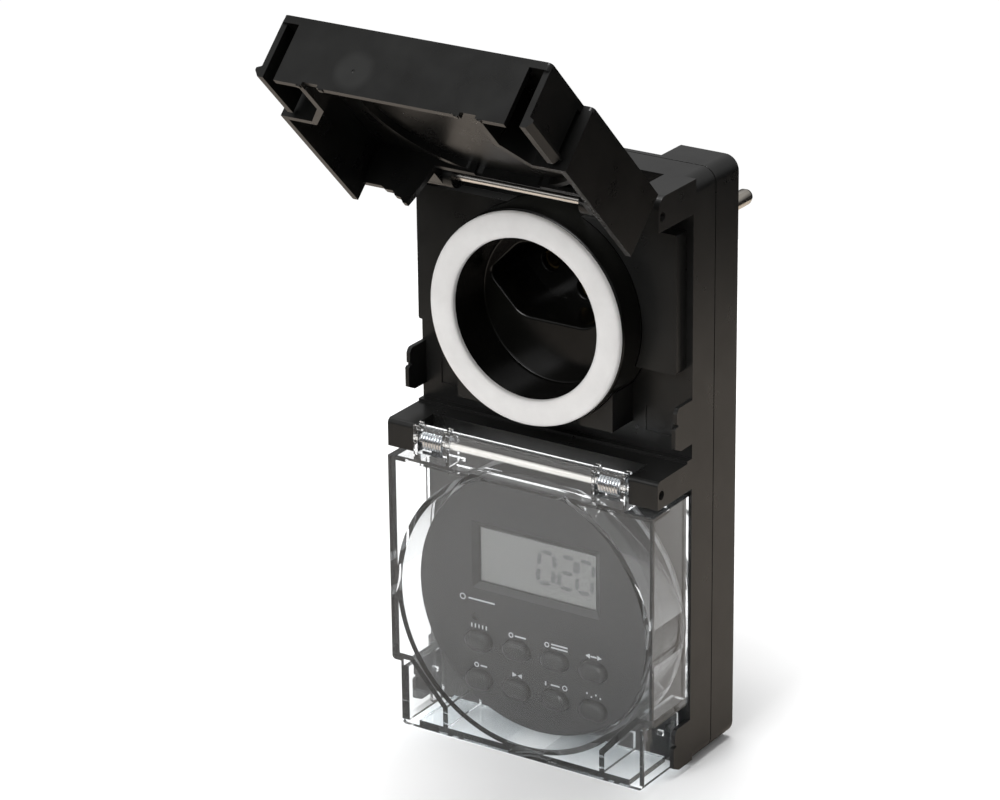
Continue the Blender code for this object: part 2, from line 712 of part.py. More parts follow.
def make_clear_cover():
    """Clear cover over the timer with an inner round wall that meets the module's gasket."""
    widths = (COVER_HALF_WIDTH, COVER_TAB_WIDTH)
    heights = (COVER_TOP_Z, COVER_STEP_Z, COVER_END_Z)
    cover = make_hood(COVER_PIVOT_Z, *widths, *heights, COVER_NECK, COVER_KNUCKLE_RIM_Y, True)
    inner, outer = ROUND_WALL_RADII
    front = HOOD_FRONT_Y + HOOD_PLATE / 2
    profile = [(inner, front), (outer, front), (outer, ROUND_WALL_RIM_Y), (inner, ROUND_WALL_RIM_Y)]
    round_wall = turned(profile, (0, TIMER_Z), 64)
    above = (COVER_TOP_Z - 0.0004, HEIGHT)
    cut(round_wall, box((-HALF_WIDTH, HALF_WIDTH), (2 * HOOD_FRONT_Y, WALL), above))
    start, stop = ROUND_WALL_SLOPE
    swing_room = [start, stop, (stop[0], HEIGHT), (WALL, HEIGHT), (WALL, start[1])]
    cut(round_wall, prism_x(swing_room, -HALF_WIDTH, HALF_WIDTH))
    unite(cover, round_wall)
    return bore_knuckles(cover, COVER_PIVOT_Z)


def make_hinge_rod(pivot_z):
    """Steel rod held by the housing lugs."""
    return disc_x((PIVOT_Y, pivot_z), ROD_RADIUS, -ROD_HALF_LENGTH, ROD_HALF_LENGTH, 16)


def make_torsion_spring(side):
    """Close-wound coil round the cover's hinge rod."""
    wire, sides, steps = SPRING_WIRE_RADIUS, 6, 12
    first = KNUCKLE_INNER_X + CHEEK + wire + GAP
    last = KNUCKLE_OUTER_X - CHEEK - wire - GAP
    shape = bmesh.new()
    total = int(SPRING_TURNS * steps)
    rings = []
    for step in range(total + 1):
        angle = 2.0 * math.pi * step / steps
        along = first + (last - first) * step / total
        outward = Vector((0.0, math.cos(angle), math.sin(angle)))
        centre = Vector((side * along, PIVOT_Y, COVER_PIVOT_Z)) + SPRING_COIL_RADIUS * outward
        ring = []
        for corner in range(sides):
            turn = 2.0 * math.pi * corner / sides
            offset = outward * math.cos(turn) + Vector((1.0, 0.0, 0.0)) * math.sin(turn)
            ring.append(shape.verts.new(centre + wire * offset))
        rings.append(ring)
    for here, there in zip(rings, rings[1:]):
        for corner in range(sides):
            after = (corner + 1) % sides
            shape.faces.new((here[corner], here[after], there[after], there[corner]))
    shape.faces.new(rings[0])
    shape.faces.new(rings[-1])
    return mesh_object(shape)


# ---------------------------------------------------------------- timer module

def capsule(centre, size, grow=0.0):
    """Stadium outline: a button's shape in X and Z."""
    half_width, radius = size[0] / 2 + grow, size[1] / 2 + grow
    inner = half_width - radius
    points = arc((centre[0] + inner, centre[1]), radius, -90, 90, 8)
    points += arc((centre[0] - inner, centre[1]), radius, 90, 270, 8)
    return points


def button_places():
    """Centres (x, z) of the eight buttons, row by row."""
    columns = [(index - 1.5) * BUTTON_PITCH for index in range(4)]
    return [(x, z) for z in BUTTON_ROWS_Z for x in columns]


def make_timer_face():
    """Round face cup with a bevelled display window and button openings."""
    inside = FACE_Y + FACE_THICKNESS
    flange_front, flange_back = TIMER_FLANGE_Y
    edge, lip, wall = 0.0006, 0.0012, 0.0010
    profile = [
        (0.0, inside),
        (0.0, FACE_Y),
        (FACE_RADIUS - edge, FACE_Y),
        (FACE_RADIUS, FACE_Y + edge),
        (FACE_RADIUS, flange_front),
        (FACE_RADIUS + lip, flange_front),
        (FACE_RADIUS + lip, flange_back),
        (FACE_RADIUS - wall, flange_back),
        (FACE_RADIUS - wall, inside),
    ]
    face = lathe(profile, (0, TIMER_Z))
    cut(face, box((-HALF_WIDTH, HALF_WIDTH), (FACE_THICKNESS, SEAM_Y), (-WALL, WALL + 2 * GAP)))
    slope = 0.0025
    window = bmesh.new()
    rings = []
    for y, grow in ((FACE_Y - slope, 2 * slope), (FACE_Y + 0.0010, 0.0), (inside + WALL, 0.0)):
        wide, tall = LCD_HALF_WIDTH + grow, LCD_HALF_HEIGHT + grow
        corners = [(-wide, -tall), (wide, -tall), (wide, tall), (-wide, tall)]
        rings.append([window.verts.new((x, y, LCD_Z + z)) for x, z in corners])
    window.faces.new(rings[0])
    window.faces.new(rings[-1])
    for here, there in zip(rings, rings[1:]):
        for index in range(4):
            after = (index + 1) % 4
            window.faces.new((here[index], here[after], there[after], there[index]))
    cut(face, mesh_object(window))
    for place in button_places():
        cut(face, prism_y(capsule(place, BUTTON_SIZE, GAP), FACE_Y - WALL, inside + WALL))
    cut(face, disc_y(RESET_CENTRE, RESET_RADIUS + 0.0004, FACE_Y - WALL, inside + WALL, 16))
    return face


def make_button(place):
    """Push button: domed cap with a wider foot behind the face."""
    button = prism_y(capsule(place, BUTTON_SIZE), BUTTON_FRONT_Y, BUTTON_FLANGE_Y[1])
    edges = bmesh.new()
    edges.from_mesh(button.data)
    front = [e for e in edges.edges if all(abs(v.co.y - BUTTON_FRONT_Y) < 1e-6 for v in e.verts)]
    bmesh.ops.bevel(edges, geom=front, offset=0.0005, segments=2, affect="EDGES")
    edges.to_mesh(button.data)
    edges.free()
    return unite(button, prism_y(capsule(place, BUTTON_SIZE, 0.0005), *BUTTON_FLANGE_Y))


def make_reset_button():
    """Small plunger behind the reset hole."""
    sunk = 0.0006
    button = disc_y(RESET_CENTRE, RESET_RADIUS, FACE_Y + sunk, BUTTON_FLANGE_Y[1], 12)
    return unite(button, disc_y(RESET_CENTRE, 2 * RESET_RADIUS, *BUTTON_FLANGE_Y, 12))


# ---------------------------------------------------------------- fasteners

def make_housing_screw(place):
    """Pan-head screw that joins the shells from behind."""
    head_front = BACK_Y - SCREW_SINK + GAP
    head_back, tip = head_front + 0.0016, 0.0050
    shape = disc_y(place, SCREW_SHANK_RADIUS, tip, head_front + GAP, 12)
    unite(shape, disc_y(place, SCREW_HEAD_RADIUS, head_front, head_back, 16))
    slot = (head_back - 0.0006, head_back + WALL)
    long, thin = 0.0018, 0.0004
    for half_x, half_z in ((long, thin), (thin, long)):
        cut(shape, box((place[0] - half_x, place[0] + half_x), slot, (place[1] - half_z, place[1] + half_z)))
    return shape


# ---------------------------------------------------------------- assembly

def clear_scene():
    """Remove every object that is already in the scene."""
    for old in list(bpy.data.objects):
        bpy.data.objects.remove(old, do_unlink=True)


def add_electrical_parts(root, brass, board_green, relay_blue, capacitor_yellow, can_black, steel):
    """Links from the pins, and the power board with its components."""
    neutral_x = tuple(sorted(-x for x in LIVE_STRAP_X))
    for name, x_range in (("live_in_strap", LIVE_STRAP_X), ("neutral_strap", neutral_x)):
        strap = make_strap(x_range, STRAP_TOP_Z, STRAP_TOP_Y, STRAP_LEVEL_Z)
        finish(strap, name, brass, root)
    strap_shape = (SWITCHED_STRAP_TOP_Z, SWITCHED_STRAP_TOP_Y, SWITCHED_STRAP_LEVEL_Z)
    live_out = make_strap(SWITCHED_STRAP_X, *strap_shape)
    finish(live_out, "live_out_strap", brass, root)
    link_x = (-EARTH_LINK_HALF_WIDTH, EARTH_LINK_HALF_WIDTH)
    link_y = (STRAP_TOP_Y, STRAP_TOP_Y + STRAP_THICKNESS)
    finish(box(link_x, link_y, EARTH_LINK_Z), "earth_link", brass, root)

    board_x = (-POWER_BOARD_HALF_WIDTH, POWER_BOARD_HALF_WIDTH)
    board = box(board_x, (BOARD_FRONT_Y, BOARD_BACK_Y), POWER_BOARD_Z)
    finish(board, "power_board", board_green, root)
    finish(box(*RELAY_BOX), "relay", relay_blue, root)
    finish(box(*FILM_CAPACITOR_BOX), "film_capacitor", capacitor_yellow, root)
    on_board = BOARD_BACK_Y + GAP
    can = disc_y(CAN_CENTRE, CAN_RADIUS, on_board, CAN_BACK_Y, 24)
    finish(can, "smoothing_capacitor", can_black, root)
    battery = disc_y(BATTERY_CENTRE, BATTERY_RADIUS, on_board, BATTERY_BACK_Y, 24)
    finish(battery, "backup_battery", steel, root)


def add_timer_module(root, face_black, black, board_green, lcd_grey, clear, rubber_grey, button_black):
    """Face, display, board, keypad and buttons."""
    finish(make_timer_face(), "timer_face", face_black, root)
    back_plate = disc_y((0, TIMER_Z), BACK_PLATE_RADIUS, *BACK_PLATE_Y, 48)
    finish(back_plate, "timer_back_plate", black, root)
    timer_board = disc_y((0, TIMER_Z), TIMER_BOARD_RADIUS, *TIMER_BOARD_Y, 48)
    finish(timer_board, "timer_board", board_green, root)
    finish(box(*LCD_PANEL_BOX), "lcd_panel", lcd_grey, root)
    pane_x, pane_z = LCD_HALF_WIDTH - GAP, LCD_HALF_HEIGHT - GAP
    pane = box((-pane_x, pane_x), PANE_Y, (LCD_Z - pane_z, LCD_Z + pane_z))
    finish(pane, "lcd_window", clear, root)
    keypad = prism_y(arc((0, TIMER_Z), TIMER_BOARD_RADIUS, 190, 350, 24), *KEYPAD_Y)
    finish(keypad, "keypad_mat", rubber_grey, root)
    for number, place in enumerate(button_places(), start=1):
        origin = (place[0], BUTTON_FRONT_Y, place[1])
        finish(make_button(place), f"button_{number}", button_black, root, origin)
    reset_origin = (RESET_CENTRE[0], FACE_Y, RESET_CENTRE[1])
    finish(make_reset_button(), "reset_button", button_black, root, reset_origin)


def add_lids(root, black, clear, steel, gasket_grey):
    """Both hinged lids with their rods, springs and gasket."""
    inner, outer = ROUND_WALL_RADII[0], ROUND_WALL_RADII[1] - 0.0005
    front = ROUND_WALL_RIM_Y + 0.0004
    gasket = [(inner, front), (outer, front), (outer, -GAP), (inner, -GAP)]
    finish(turned(gasket, (0, TIMER_Z), 48), "cover_gasket", gasket_grey, root)

    lid_pivot = (0.0, PIVOT_Y, LID_PIVOT_Z)
    finish(make_socket_lid(), "socket_lid", black, root, lid_pivot, -LID_OPEN_ANGLE)
    finish(make_hinge_rod(LID_PIVOT_Z), "lid_hinge_rod", steel, root, lid_pivot)
    cover_pivot = (0.0, PIVOT_Y, COVER_PIVOT_Z)
    finish(make_clear_cover(), "clear_cover", clear, root, cover_pivot)
    finish(make_hinge_rod(COVER_PIVOT_Z), "cover_hinge_rod", steel, root, cover_pivot)
    finish(make_torsion_spring(-1), "cover_spring_left", steel, root, cover_pivot)
    finish(make_torsion_spring(1), "cover_spring_right", steel, root, cover_pivot)


def main():
    clear_scene()
    root = bpy.data.objects.new("plug_face_frame", None)
    bpy.context.scene.collection.objects.link(root)
    root.location = (0.0, -PLUG_FACE_Y, -PLUG_Z)

    black = make_material("housing_black", (0.022, 0.022, 0.021), 0.42)
    insert_black = make_material("insert_black", (0.014, 0.014, 0.014), 0.38)
    face_black = make_material("face_black", (0.030, 0.031, 0.032), 0.55)
    button_black = make_material("button_black", (0.018, 0.018, 0.018), 0.50)
    seal_white = make_material("seal_white", (0.82, 0.81, 0.79), 0.60)
    gasket_grey = make_material("gasket_grey", (0.25, 0.25, 0.25), 0.80)
    clear = make_material("clear_plastic", (0.90, 0.93, 0.94), 0.05, alpha=0.25)
    steel = make_material("rod_steel", (0.75, 0.74, 0.72), 0.22, 1.0)
    nickel = make_material("pin_nickel", (0.70, 0.66, 0.60), 0.25, 1.0)
    brass = make_material("contact_brass", (0.78, 0.60, 0.28), 0.30, 1.0)
    board_green = make_material("board_green", (0.03, 0.18, 0.08), 0.55)
    relay_blue = make_material("relay_blue", (0.05, 0.12, 0.30), 0.45)
    capacitor_yellow = make_material("capacitor_yellow", (0.65, 0.50, 0.12), 0.50)
    can_black = make_material("can_black", (0.05, 0.05, 0.07), 0.35)
    lcd_grey = make_material("lcd_grey", (0.33, 0.35, 0.32), 0.30)
    rubber_grey = make_material("keypad_grey", (0.35, 0.35, 0.36), 0.85)

    finish(make_front_housing(), "front_housing", black, root)
    finish(make_rear_housing(), "rear_housing", black, root)
    for number, place in enumerate(SCREW_PLACES, start=1):
        finish(make_housing_screw(place), f"housing_screw_{number}", steel, root)

    finish(make_socket_insert(), "socket_insert", insert_black, root)
    finish(make_collar_seal(), "collar_seal", seal_white, root)
    neutral, live, earth = pin_places(HEX_Z)
    finish(make_sleeve(neutral, SLEEVE_BACK_Y), "neutral_sleeve", brass, root)
    finish(make_sleeve(live, LIVE_SLEEVE_BACK_Y), "live_sleeve", brass, root)
    finish(make_sleeve(earth, SLEEVE_BACK_Y), "earth_sleeve", brass, root)

    finish(make_plug_body(), "plug_body", black, root)
    finish(make_plug_nose(), "plug_nose", black, root)
    finish(make_plug_seal(), "plug_seal", gasket_grey, root)
    for label, place in zip(("neutral", "live", "earth"), pin_places(PLUG_Z)):
        finish(make_plug_pin(place), f"{label}_pin", nickel, root)

    add_electrical_parts(root, brass, board_green, relay_blue, capacitor_yellow, can_black, steel)
    add_timer_module(root, face_black, black, board_green, lcd_grey, clear, rubber_grey, button_black)
    add_lids(root, black, clear, steel, gasket_grey)


main()
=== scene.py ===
"""Looks for a splash-proof plug-in timer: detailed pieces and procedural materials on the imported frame."""
import math

import bmesh
import bpy
from mathutils import Matrix, Vector


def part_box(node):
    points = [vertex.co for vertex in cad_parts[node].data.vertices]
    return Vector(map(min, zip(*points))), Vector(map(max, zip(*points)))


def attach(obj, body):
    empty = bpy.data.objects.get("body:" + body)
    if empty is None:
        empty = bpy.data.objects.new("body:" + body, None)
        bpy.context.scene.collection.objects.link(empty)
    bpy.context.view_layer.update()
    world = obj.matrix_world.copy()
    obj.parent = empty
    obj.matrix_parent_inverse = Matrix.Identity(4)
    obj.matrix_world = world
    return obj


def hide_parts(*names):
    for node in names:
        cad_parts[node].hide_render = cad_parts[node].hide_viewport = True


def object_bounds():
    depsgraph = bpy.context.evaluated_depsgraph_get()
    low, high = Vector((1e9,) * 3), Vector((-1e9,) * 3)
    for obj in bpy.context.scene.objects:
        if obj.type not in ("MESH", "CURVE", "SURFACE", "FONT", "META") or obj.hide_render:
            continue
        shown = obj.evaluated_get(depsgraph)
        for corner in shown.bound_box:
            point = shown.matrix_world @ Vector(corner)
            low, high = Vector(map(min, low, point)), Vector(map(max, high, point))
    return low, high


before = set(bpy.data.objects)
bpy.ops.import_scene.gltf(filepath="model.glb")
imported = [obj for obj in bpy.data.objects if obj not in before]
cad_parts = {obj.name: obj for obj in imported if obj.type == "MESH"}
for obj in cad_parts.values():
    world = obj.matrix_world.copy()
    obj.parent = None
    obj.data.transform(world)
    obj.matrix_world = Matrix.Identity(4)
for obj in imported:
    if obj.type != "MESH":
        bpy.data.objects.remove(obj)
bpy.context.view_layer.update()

# ------------------------------------------------------------------ dimensions, body coordinates in metres
HALF_WIDTH = 0.0360
HEIGHT = 0.1415
CORNER_RADIUS = 0.0035
SEAM_Y = 0.0094
BACK_Y = 0.0194
WALL = 0.0020
GAP = 0.0003
RUNNING_GAP = 0.0001
SHARP_ANGLE = math.radians(32.0)
RECESS_HALF_WIDTH = 0.0211
RECESS_BOTTOM_Z = 0.0740
RECESS_Y = 0.0110

SOCKET_Z = 0.1061
PANEL_Y = -0.0040
PANEL_HALF_WIDTH = 0.0342
PANEL_BOTTOM_Z = 0.0970
PANEL_TOP_Z = 0.1296
WELL_RADIUS = 0.0189
COLLAR_RADIUS = 0.0253
COLLAR_FRONT_Y = -0.0115
SEAL_FRONT_Y = -0.0133
SEAL_RADIUS = 0.02495
HEX_Z = 0.1103
HEX_HALF_WIDTH = 0.0176
HEX_HALF_HEIGHT = 0.0086
HEX_FLOOR_Y = 0.0135
CUP_FLOOR = 0.0016
PIN_SPACING = 0.0190
EARTH_DROP = 0.0050
PIN_RADIUS = 0.0020

PLUG_Z = 0.1128
PLUG_FACE_Y = 0.0510
PLUG_SHOULDER_Y = 0.0375
NECK_Z = PLUG_Z - (HEX_Z - SOCKET_Z)
NECK_RADIUS = 0.0182
BOWL_RADIUS = 0.0208
BOWL_BACK_Y = 0.0175
NOSE_HALF_WIDTH = 0.0168
NOSE_HALF_HEIGHT = 0.0080
PIN_LENGTH = 0.0190
PIN_ROOT_Y = 0.0359

LUG_INNER_X = 0.0285
LUG_FRONT_Y = -0.0146
ROD_RADIUS = 0.0010
ROD_HALF_LENGTH = 0.0352
PIVOT_Y = -0.0131
LID_PIVOT_Z = 0.1370
COVER_PIVOT_Z = 0.0722
LID_OPEN_ANGLE = math.radians(135.8)
UPPER_LUG_BOTTOM_Z = 0.1337
BRIDGE_BOTTOM_Z = 0.0690
BRIDGE_TOP_Z = 0.0757
BRIDGE_FRONT_Y = -0.0070
HOOK_DEPTH = 0.0072
HOOK_THICKNESS = 0.0010
HOOK_RANGES_Z = ((0.0798, 0.0903), (0.0012, 0.0118))
FOOT_X = (0.0120, 0.0206)
FOOT_Z = (0.0822, 0.0920)
FOOT_FRONT_Y = -0.0086
FOOT_STEP_X = (0.0095, 0.0130)
FOOT_STEP_Z = (0.0838, 0.0900)
FOOT_STEP_FRONT_Y = -0.0080
PAD_X = (0.0240, 0.0308)
PAD_Z = (0.0806, 0.0866)
PAD_DEPTH = 0.00025
LABEL_HALF_WIDTH = 0.0200
LABEL_Z = (0.0180, 0.0480)
SLOT_HALF_WIDTH = 0.0130
SLOT_HEIGHT = 0.0016
SLOT_PITCH = 0.0036
FIRST_SLOT_Z = 0.0560
SCREW_BOSS_RADIUS = 0.0042
SCREW_SINK_RADIUS = 0.0032
SCREW_SINK_DEPTH = 0.0030

HOOD_WALL = 0.0014
HOOD_PLATE = 0.0018
HOOD_FRONT_Y = -0.0157
HOOD_RIM_Y = -0.0003
KNUCKLE_INNER_X = 0.0190
KNUCKLE_OUTER_X = 0.0282
CHEEK = 0.0012
TAB_OVERHANG = 0.0012
END_WALL_HALF_WIDTH = 0.0288
LIP_DEPTH = 0.0024
CHEEK_RADIUS = 0.0029
LINTEL_RISE = 0.0038
WEB_BACK_Y = -0.0145
LID_KNUCKLE_RIM_Y = -0.0042
COVER_KNUCKLE_RIM_Y = -0.0075
BOSS_INNER_X = 0.0165
TOOTH_PLACES_X = (-0.0226, -0.0169, 0.0169, 0.0226)
LID_SIZES = (0.0360, 0.0335, 0.1317, 0.0948, 0.0777)
LID_NECK = (0.0215, 0.0880, 0.0272)
LID_NOTCH_X = (0.0178, 0.0217)
LIP_NOTCH_HALF_WIDTH = 0.0085
SOCKET_RING_RADII = (0.0262, 0.0274)
SOCKET_RING_RIM_Y = -0.0121
GATE_CENTRE = (-0.0109, -0.0057)
GATE_RADIUS = 0.0045
COVER_SIZES = (0.0354, 0.0329, 0.0672, 0.0157, -0.0004)
COVER_NECK = (0.0207, 0.0057, 0.0305)
ROUND_WALL_RADII = (0.0329, 0.0343)
ROUND_WALL_RIM_Y = -0.0014
ROUND_WALL_SLOPE = ((ROUND_WALL_RIM_Y, 0.0400), (-0.0088, 0.0668))

SPRING_WIRE_RADIUS = 0.00032
SPRING_COIL_RADIUS = 0.0022
SPRING_TURNS = 7.5

TIMER_Z = 0.0349
FACE_Y = -0.0080
FACE_RADIUS = 0.0322
FACE_THICKNESS = 0.0016
BUTTON_PITCH = 0.0104
BUTTON_ROWS_Z = (0.0224, 0.0125)
BUTTON_SIZE = (0.0072, 0.0048)
BUTTON_FRONT_Y = -0.0097
BUTTON_FLANGE_Y = (-0.0061, -0.0052)
RESET_CENTRE = (-0.0166, 0.0283)
RESET_RADIUS = 0.0007
LCD_Z = 0.0440
LCD_HALF_WIDTH = 0.0159
LCD_HALF_HEIGHT = 0.0070
LCD_FRONT_Y = -0.0061
DIGIT_HEIGHT = 0.0078
DIGIT_LEAN = 0.08
INK_FRONT = 0.00006
INK_BACK = 0.00001
SCREW_PLACES = ((-0.0303, 0.0049), (0.0303, 0.0049), (-0.0290, 0.1340), (0.0290, 0.1340))

# The body's zero point in the row frame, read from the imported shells
BASE = Vector((0.0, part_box("rear_housing")[1].y - BACK_Y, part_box("front_housing")[0].z))


# ------------------------------------------------------------------ node helpers

def new_material(name):
    """Material with a Principled shader; returns material, node tree and shader."""
    material = bpy.data.materials.new(name)
    material.use_nodes = True
    tree = material.node_tree
    return material, tree, tree.nodes["Principled BSDF"]


def noise(tree, scale, detail=4.0, roughness=0.55, stretch=(1.0, 1.0, 1.0)):
    """Noise in object coordinates; returns its factor output."""
    coords = tree.nodes.new("ShaderNodeTexCoord")
    mapping = tree.nodes.new("ShaderNodeMapping")
    mapping.inputs["Scale"].default_value = stretch
    texture = tree.nodes.new("ShaderNodeTexNoise")
    texture.inputs["Scale"].default_value = scale
    texture.inputs["Detail"].default_value = detail
    texture.inputs["Roughness"].default_value = roughness
    tree.links.new(coords.outputs["Object"], mapping.inputs["Vector"])
    tree.links.new(mapping.outputs["Vector"], texture.inputs["Vector"])
    return texture.outputs["Fac"]


def ramp(tree, factor, low, high, start=0.35, stop=0.65):
    """Colour ramp from low to high."""
    node = tree.nodes.new("ShaderNodeValToRGB")
    node.color_ramp.elements[0].position = start
    node.color_ramp.elements[1].position = stop
    node.color_ramp.elements[0].color = (*low, 1.0)
    node.color_ramp.elements[1].color = (*high, 1.0)
    tree.links.new(factor, node.inputs["Fac"])
    return node.outputs["Color"]


def spread(tree, factor, low, high, start=0.3, stop=0.7):
    """Map a noise factor to a range of values."""
    node = tree.nodes.new("ShaderNodeMapRange")
    node.inputs["From Min"].default_value = start
    node.inputs["From Max"].default_value = stop
    node.inputs["To Min"].default_value = low
    node.inputs["To Max"].default_value = high
    tree.links.new(factor, node.inputs["Value"])
    return node.outputs["Result"]


def computed(tree, operation, first, second, clamp=False):
    """Result of a two-input math node."""
    node = tree.nodes.new("ShaderNodeMath")
    node.operation = operation
    node.use_clamp = clamp
    tree.links.new(first, node.inputs[0])
    tree.links.new(second, node.inputs[1])
    return node.outputs["Value"]


def toned(tree, factor, colour, tone):
    """A colour output, turned into a fixed tone where the factor is one."""
    node = tree.nodes.new("ShaderNodeMix")
    node.data_type = "RGBA"
    node.inputs["B"].default_value = (*tone, 1.0)
    tree.links.new(factor, node.inputs["Factor"])
    tree.links.new(colour, node.inputs["A"])
    return node.outputs["Result"]


def bump(tree, shader, layers):
    """Stack bump layers given as (factor, strength, distance)."""
    normal = None
    for factor, strength, distance in layers:
        node = tree.nodes.new("ShaderNodeBump")
        node.inputs["Strength"].default_value = strength
        node.inputs["Distance"].default_value = distance
        tree.links.new(factor, node.inputs["Height"])
        if normal is not None:
            tree.links.new(normal, node.inputs["Normal"])
        normal = node.outputs["Normal"]
    tree.links.new(normal, shader.inputs["Normal"])


def moulded(name, dark, light, rough, specular=0.40, grain=0.04, flow=0.03):
    """Moulded plastic: mottled colour, uneven gloss and a fine eroded grain."""
    material, tree, shader = new_material(name)
    clouds = noise(tree, 60.0, 5.0)
    tree.links.new(ramp(tree, clouds, dark, light), shader.inputs["Base Color"])
    patches = noise(tree, 150.0, 3.0)
    gloss = spread(tree, patches, rough - 0.03, rough + 0.04)
    tree.links.new(gloss, shader.inputs["Roughness"])
    shader.inputs["Specular IOR Level"].default_value = specular
    fine = noise(tree, 1500.0, 1.0)
    bump(tree, shader, ((fine, grain, 0.00002), (noise(tree, 120.0, 2.0), flow, 0.00004)))
    return material


def metal(name, low, high, rough, stretch):
    """Metal with fine drawn or turned marks along one direction."""
    material, tree, shader = new_material(name)
    lines = noise(tree, 900.0, 3.0, 0.6, stretch)
    tree.links.new(ramp(tree, lines, low, high), shader.inputs["Base Color"])
    tree.links.new(spread(tree, lines, rough - 0.04, rough + 0.08), shader.inputs["Roughness"])
    shader.inputs["Metallic"].default_value = 1.0
    bump(tree, shader, ((lines, 0.08, 0.00003),))
    return material


def add_gate_mark(material, centre, radius):
    """Matte round gate mark around a point of the piece, in object coordinates."""
    tree = material.node_tree
    shader = tree.nodes["Principled BSDF"]
    coords = tree.nodes.new("ShaderNodeTexCoord")
    away = tree.nodes.new("ShaderNodeVectorMath")
    away.operation = "DISTANCE"
    away.inputs[1].default_value = centre
    tree.links.new(coords.outputs["Object"], away.inputs[0])
    edge = spread(tree, away.outputs["Value"], 1.0, 0.0, 0.75 * radius, 1.15 * radius)
    gloss = shader.inputs["Roughness"].links[0].from_socket
    duller = tree.nodes.new("ShaderNodeMath")
    duller.operation = "MULTIPLY_ADD"
    duller.inputs[1].default_value = 0.04
    tree.links.new(edge, duller.inputs[0])
    tree.links.new(gloss, duller.inputs[2])
    tree.links.new(duller.outputs["Value"], shader.inputs["Roughness"])
    colour = shader.inputs["Base Color"].links[0].from_socket
    tree.links.new(toned(tree, edge, colour, (0.0105, 0.0105, 0.0100)), shader.inputs["Base Color"])


def soft_rubber(name, low, high, rough):
    """Soft sealing rubber with a dusty, slightly uneven surface."""
    material, tree, shader = new_material(name)
    clouds = noise(tree, 140.0, 5.0)
    tree.links.new(ramp(tree, clouds, low, high), shader.inputs["Base Color"])
    tree.links.new(spread(tree, noise(tree, 700.0), rough - 0.06, rough + 0.06), shader.inputs["Roughness"])
    shader.inputs["Specular IOR Level"].default_value = 0.3
    bump(tree, shader, ((noise(tree, 3000.0, 2.0), 0.10, 0.00005), (noise(tree, 180.0), 0.15, 0.00008)))
    return material


def clear_plastic(name, tint):
    """Clear moulded plastic with faint flow marks and smudges."""
    material, tree, shader = new_material(name)
    shader.inputs["Base Color"].default_value = (*tint, 1.0)
    shader.inputs["Transmission Weight"].default_value = 0.985
    shader.inputs["IOR"].default_value = 1.40
    smudge = noise(tree, 60.0, 6.0)
    tree.links.new(spread(tree, smudge, 0.0, 0.004, 0.5, 0.8), shader.inputs["Roughness"])
    bump(tree, shader, ((noise(tree, 40.0, 1.0), 0.02, 0.0002),))
    # lamps shine through it, as they do through thin clear plastic
    rays = tree.nodes.new("ShaderNodeLightPath")
    through = tree.nodes.new("ShaderNodeBsdfTransparent")
    through.inputs["Color"].default_value = (0.90, 0.92, 0.93, 1.0)
    mix = tree.nodes.new("ShaderNodeMixShader")
    tree.links.new(rays.outputs["Is Shadow Ray"], mix.inputs["Fac"])
    tree.links.new(shader.outputs["BSDF"], mix.inputs[1])
    tree.links.new(through.outputs["BSDF"], mix.inputs[2])
    tree.links.new(mix.outputs["Shader"], tree.nodes["Material Output"].inputs["Surface"])
    return material


def board_material(name, low, high):
    """Solder-masked board with traces showing as slightly raised lines."""
    material, tree, shader = new_material(name)
    coords = tree.nodes.new("ShaderNodeTexCoord")
    bricks = tree.nodes.new("ShaderNodeTexBrick")
    bricks.inputs["Scale"].default_value = 180.0
    bricks.inputs["Mortar Size"].default_value = 0.06
    bricks.inputs["Color1"].default_value = (*low, 1.0)
    bricks.inputs["Color2"].default_value = (*low, 1.0)
    bricks.inputs["Mortar"].default_value = (*high, 1.0)
    tree.links.new(coords.outputs["Object"], bricks.inputs["Vector"])
    tree.links.new(bricks.outputs["Color"], shader.inputs["Base Color"])
    shader.inputs["Roughness"].default_value = 0.35
    bump(tree, shader, ((bricks.outputs["Fac"], 0.2, 0.00003),))
    return material


# ------------------------------------------------------------------ outlines

def arc(centre, radius, start, end, steps):
    """Points along a circular arc, angles in degrees, both ends included."""
    points = []
    for step in range(steps + 1):
        angle = math.radians(start + (end - start) * step / steps)
        points.append((centre[0] + radius * math.cos(angle), centre[1] + radius * math.sin(angle)))
    return points


def circle(centre, radius, steps):
    """Closed circle outline."""
    return arc(centre, radius, 0.0, 360.0, steps)[:-1]


def rounded_rectangle(half_width, low, high, radius, steps=8):
    """Rectangle about the middle plane with four rounded corners."""
    inner = half_width - radius
    points = arc((inner, high - radius), radius, 0, 90, steps)
    points += arc((-inner, high - radius), radius, 90, 180, steps)
    points += arc((-inner, low + radius), radius, 180, 270, steps)
    points += arc((inner, low + radius), radius, 270, 360, steps)
    return points


def softened(points, radius, steps=4):
    """Round every corner of a convex or concave outline."""
    result = []
    count = len(points)
    for index, corner in enumerate(points):
        here = Vector(corner)
        before = Vector(points[index - 1]) - here
        after = Vector(points[(index + 1) % count]) - here
        reach = min(radius, 0.45 * before.length, 0.45 * after.length)
        start = here + before.normalized() * reach
        stop = here + after.normalized() * reach
        for step in range(steps + 1):
            t = step / steps
            point = start * (1 - t) ** 2 + here * 2 * t * (1 - t) + stop * t ** 2
            result.append((point.x, point.y))
    return result


def hexagon(half_width, half_height, centre_z):
    """Flat-topped hexagon with points left and right and sloping sides at 45 degrees."""
    flat = half_width - half_height
    return [
        (half_width, centre_z),
        (flat, centre_z + half_height),
        (-flat, centre_z + half_height),
        (-half_width, centre_z),
        (-flat, centre_z - half_height),
        (flat, centre_z - half_height),
    ]


def mirrored(points):
    """The same outline reflected in the middle plane."""
    return [(-x, other) for x, other in reversed(points)]


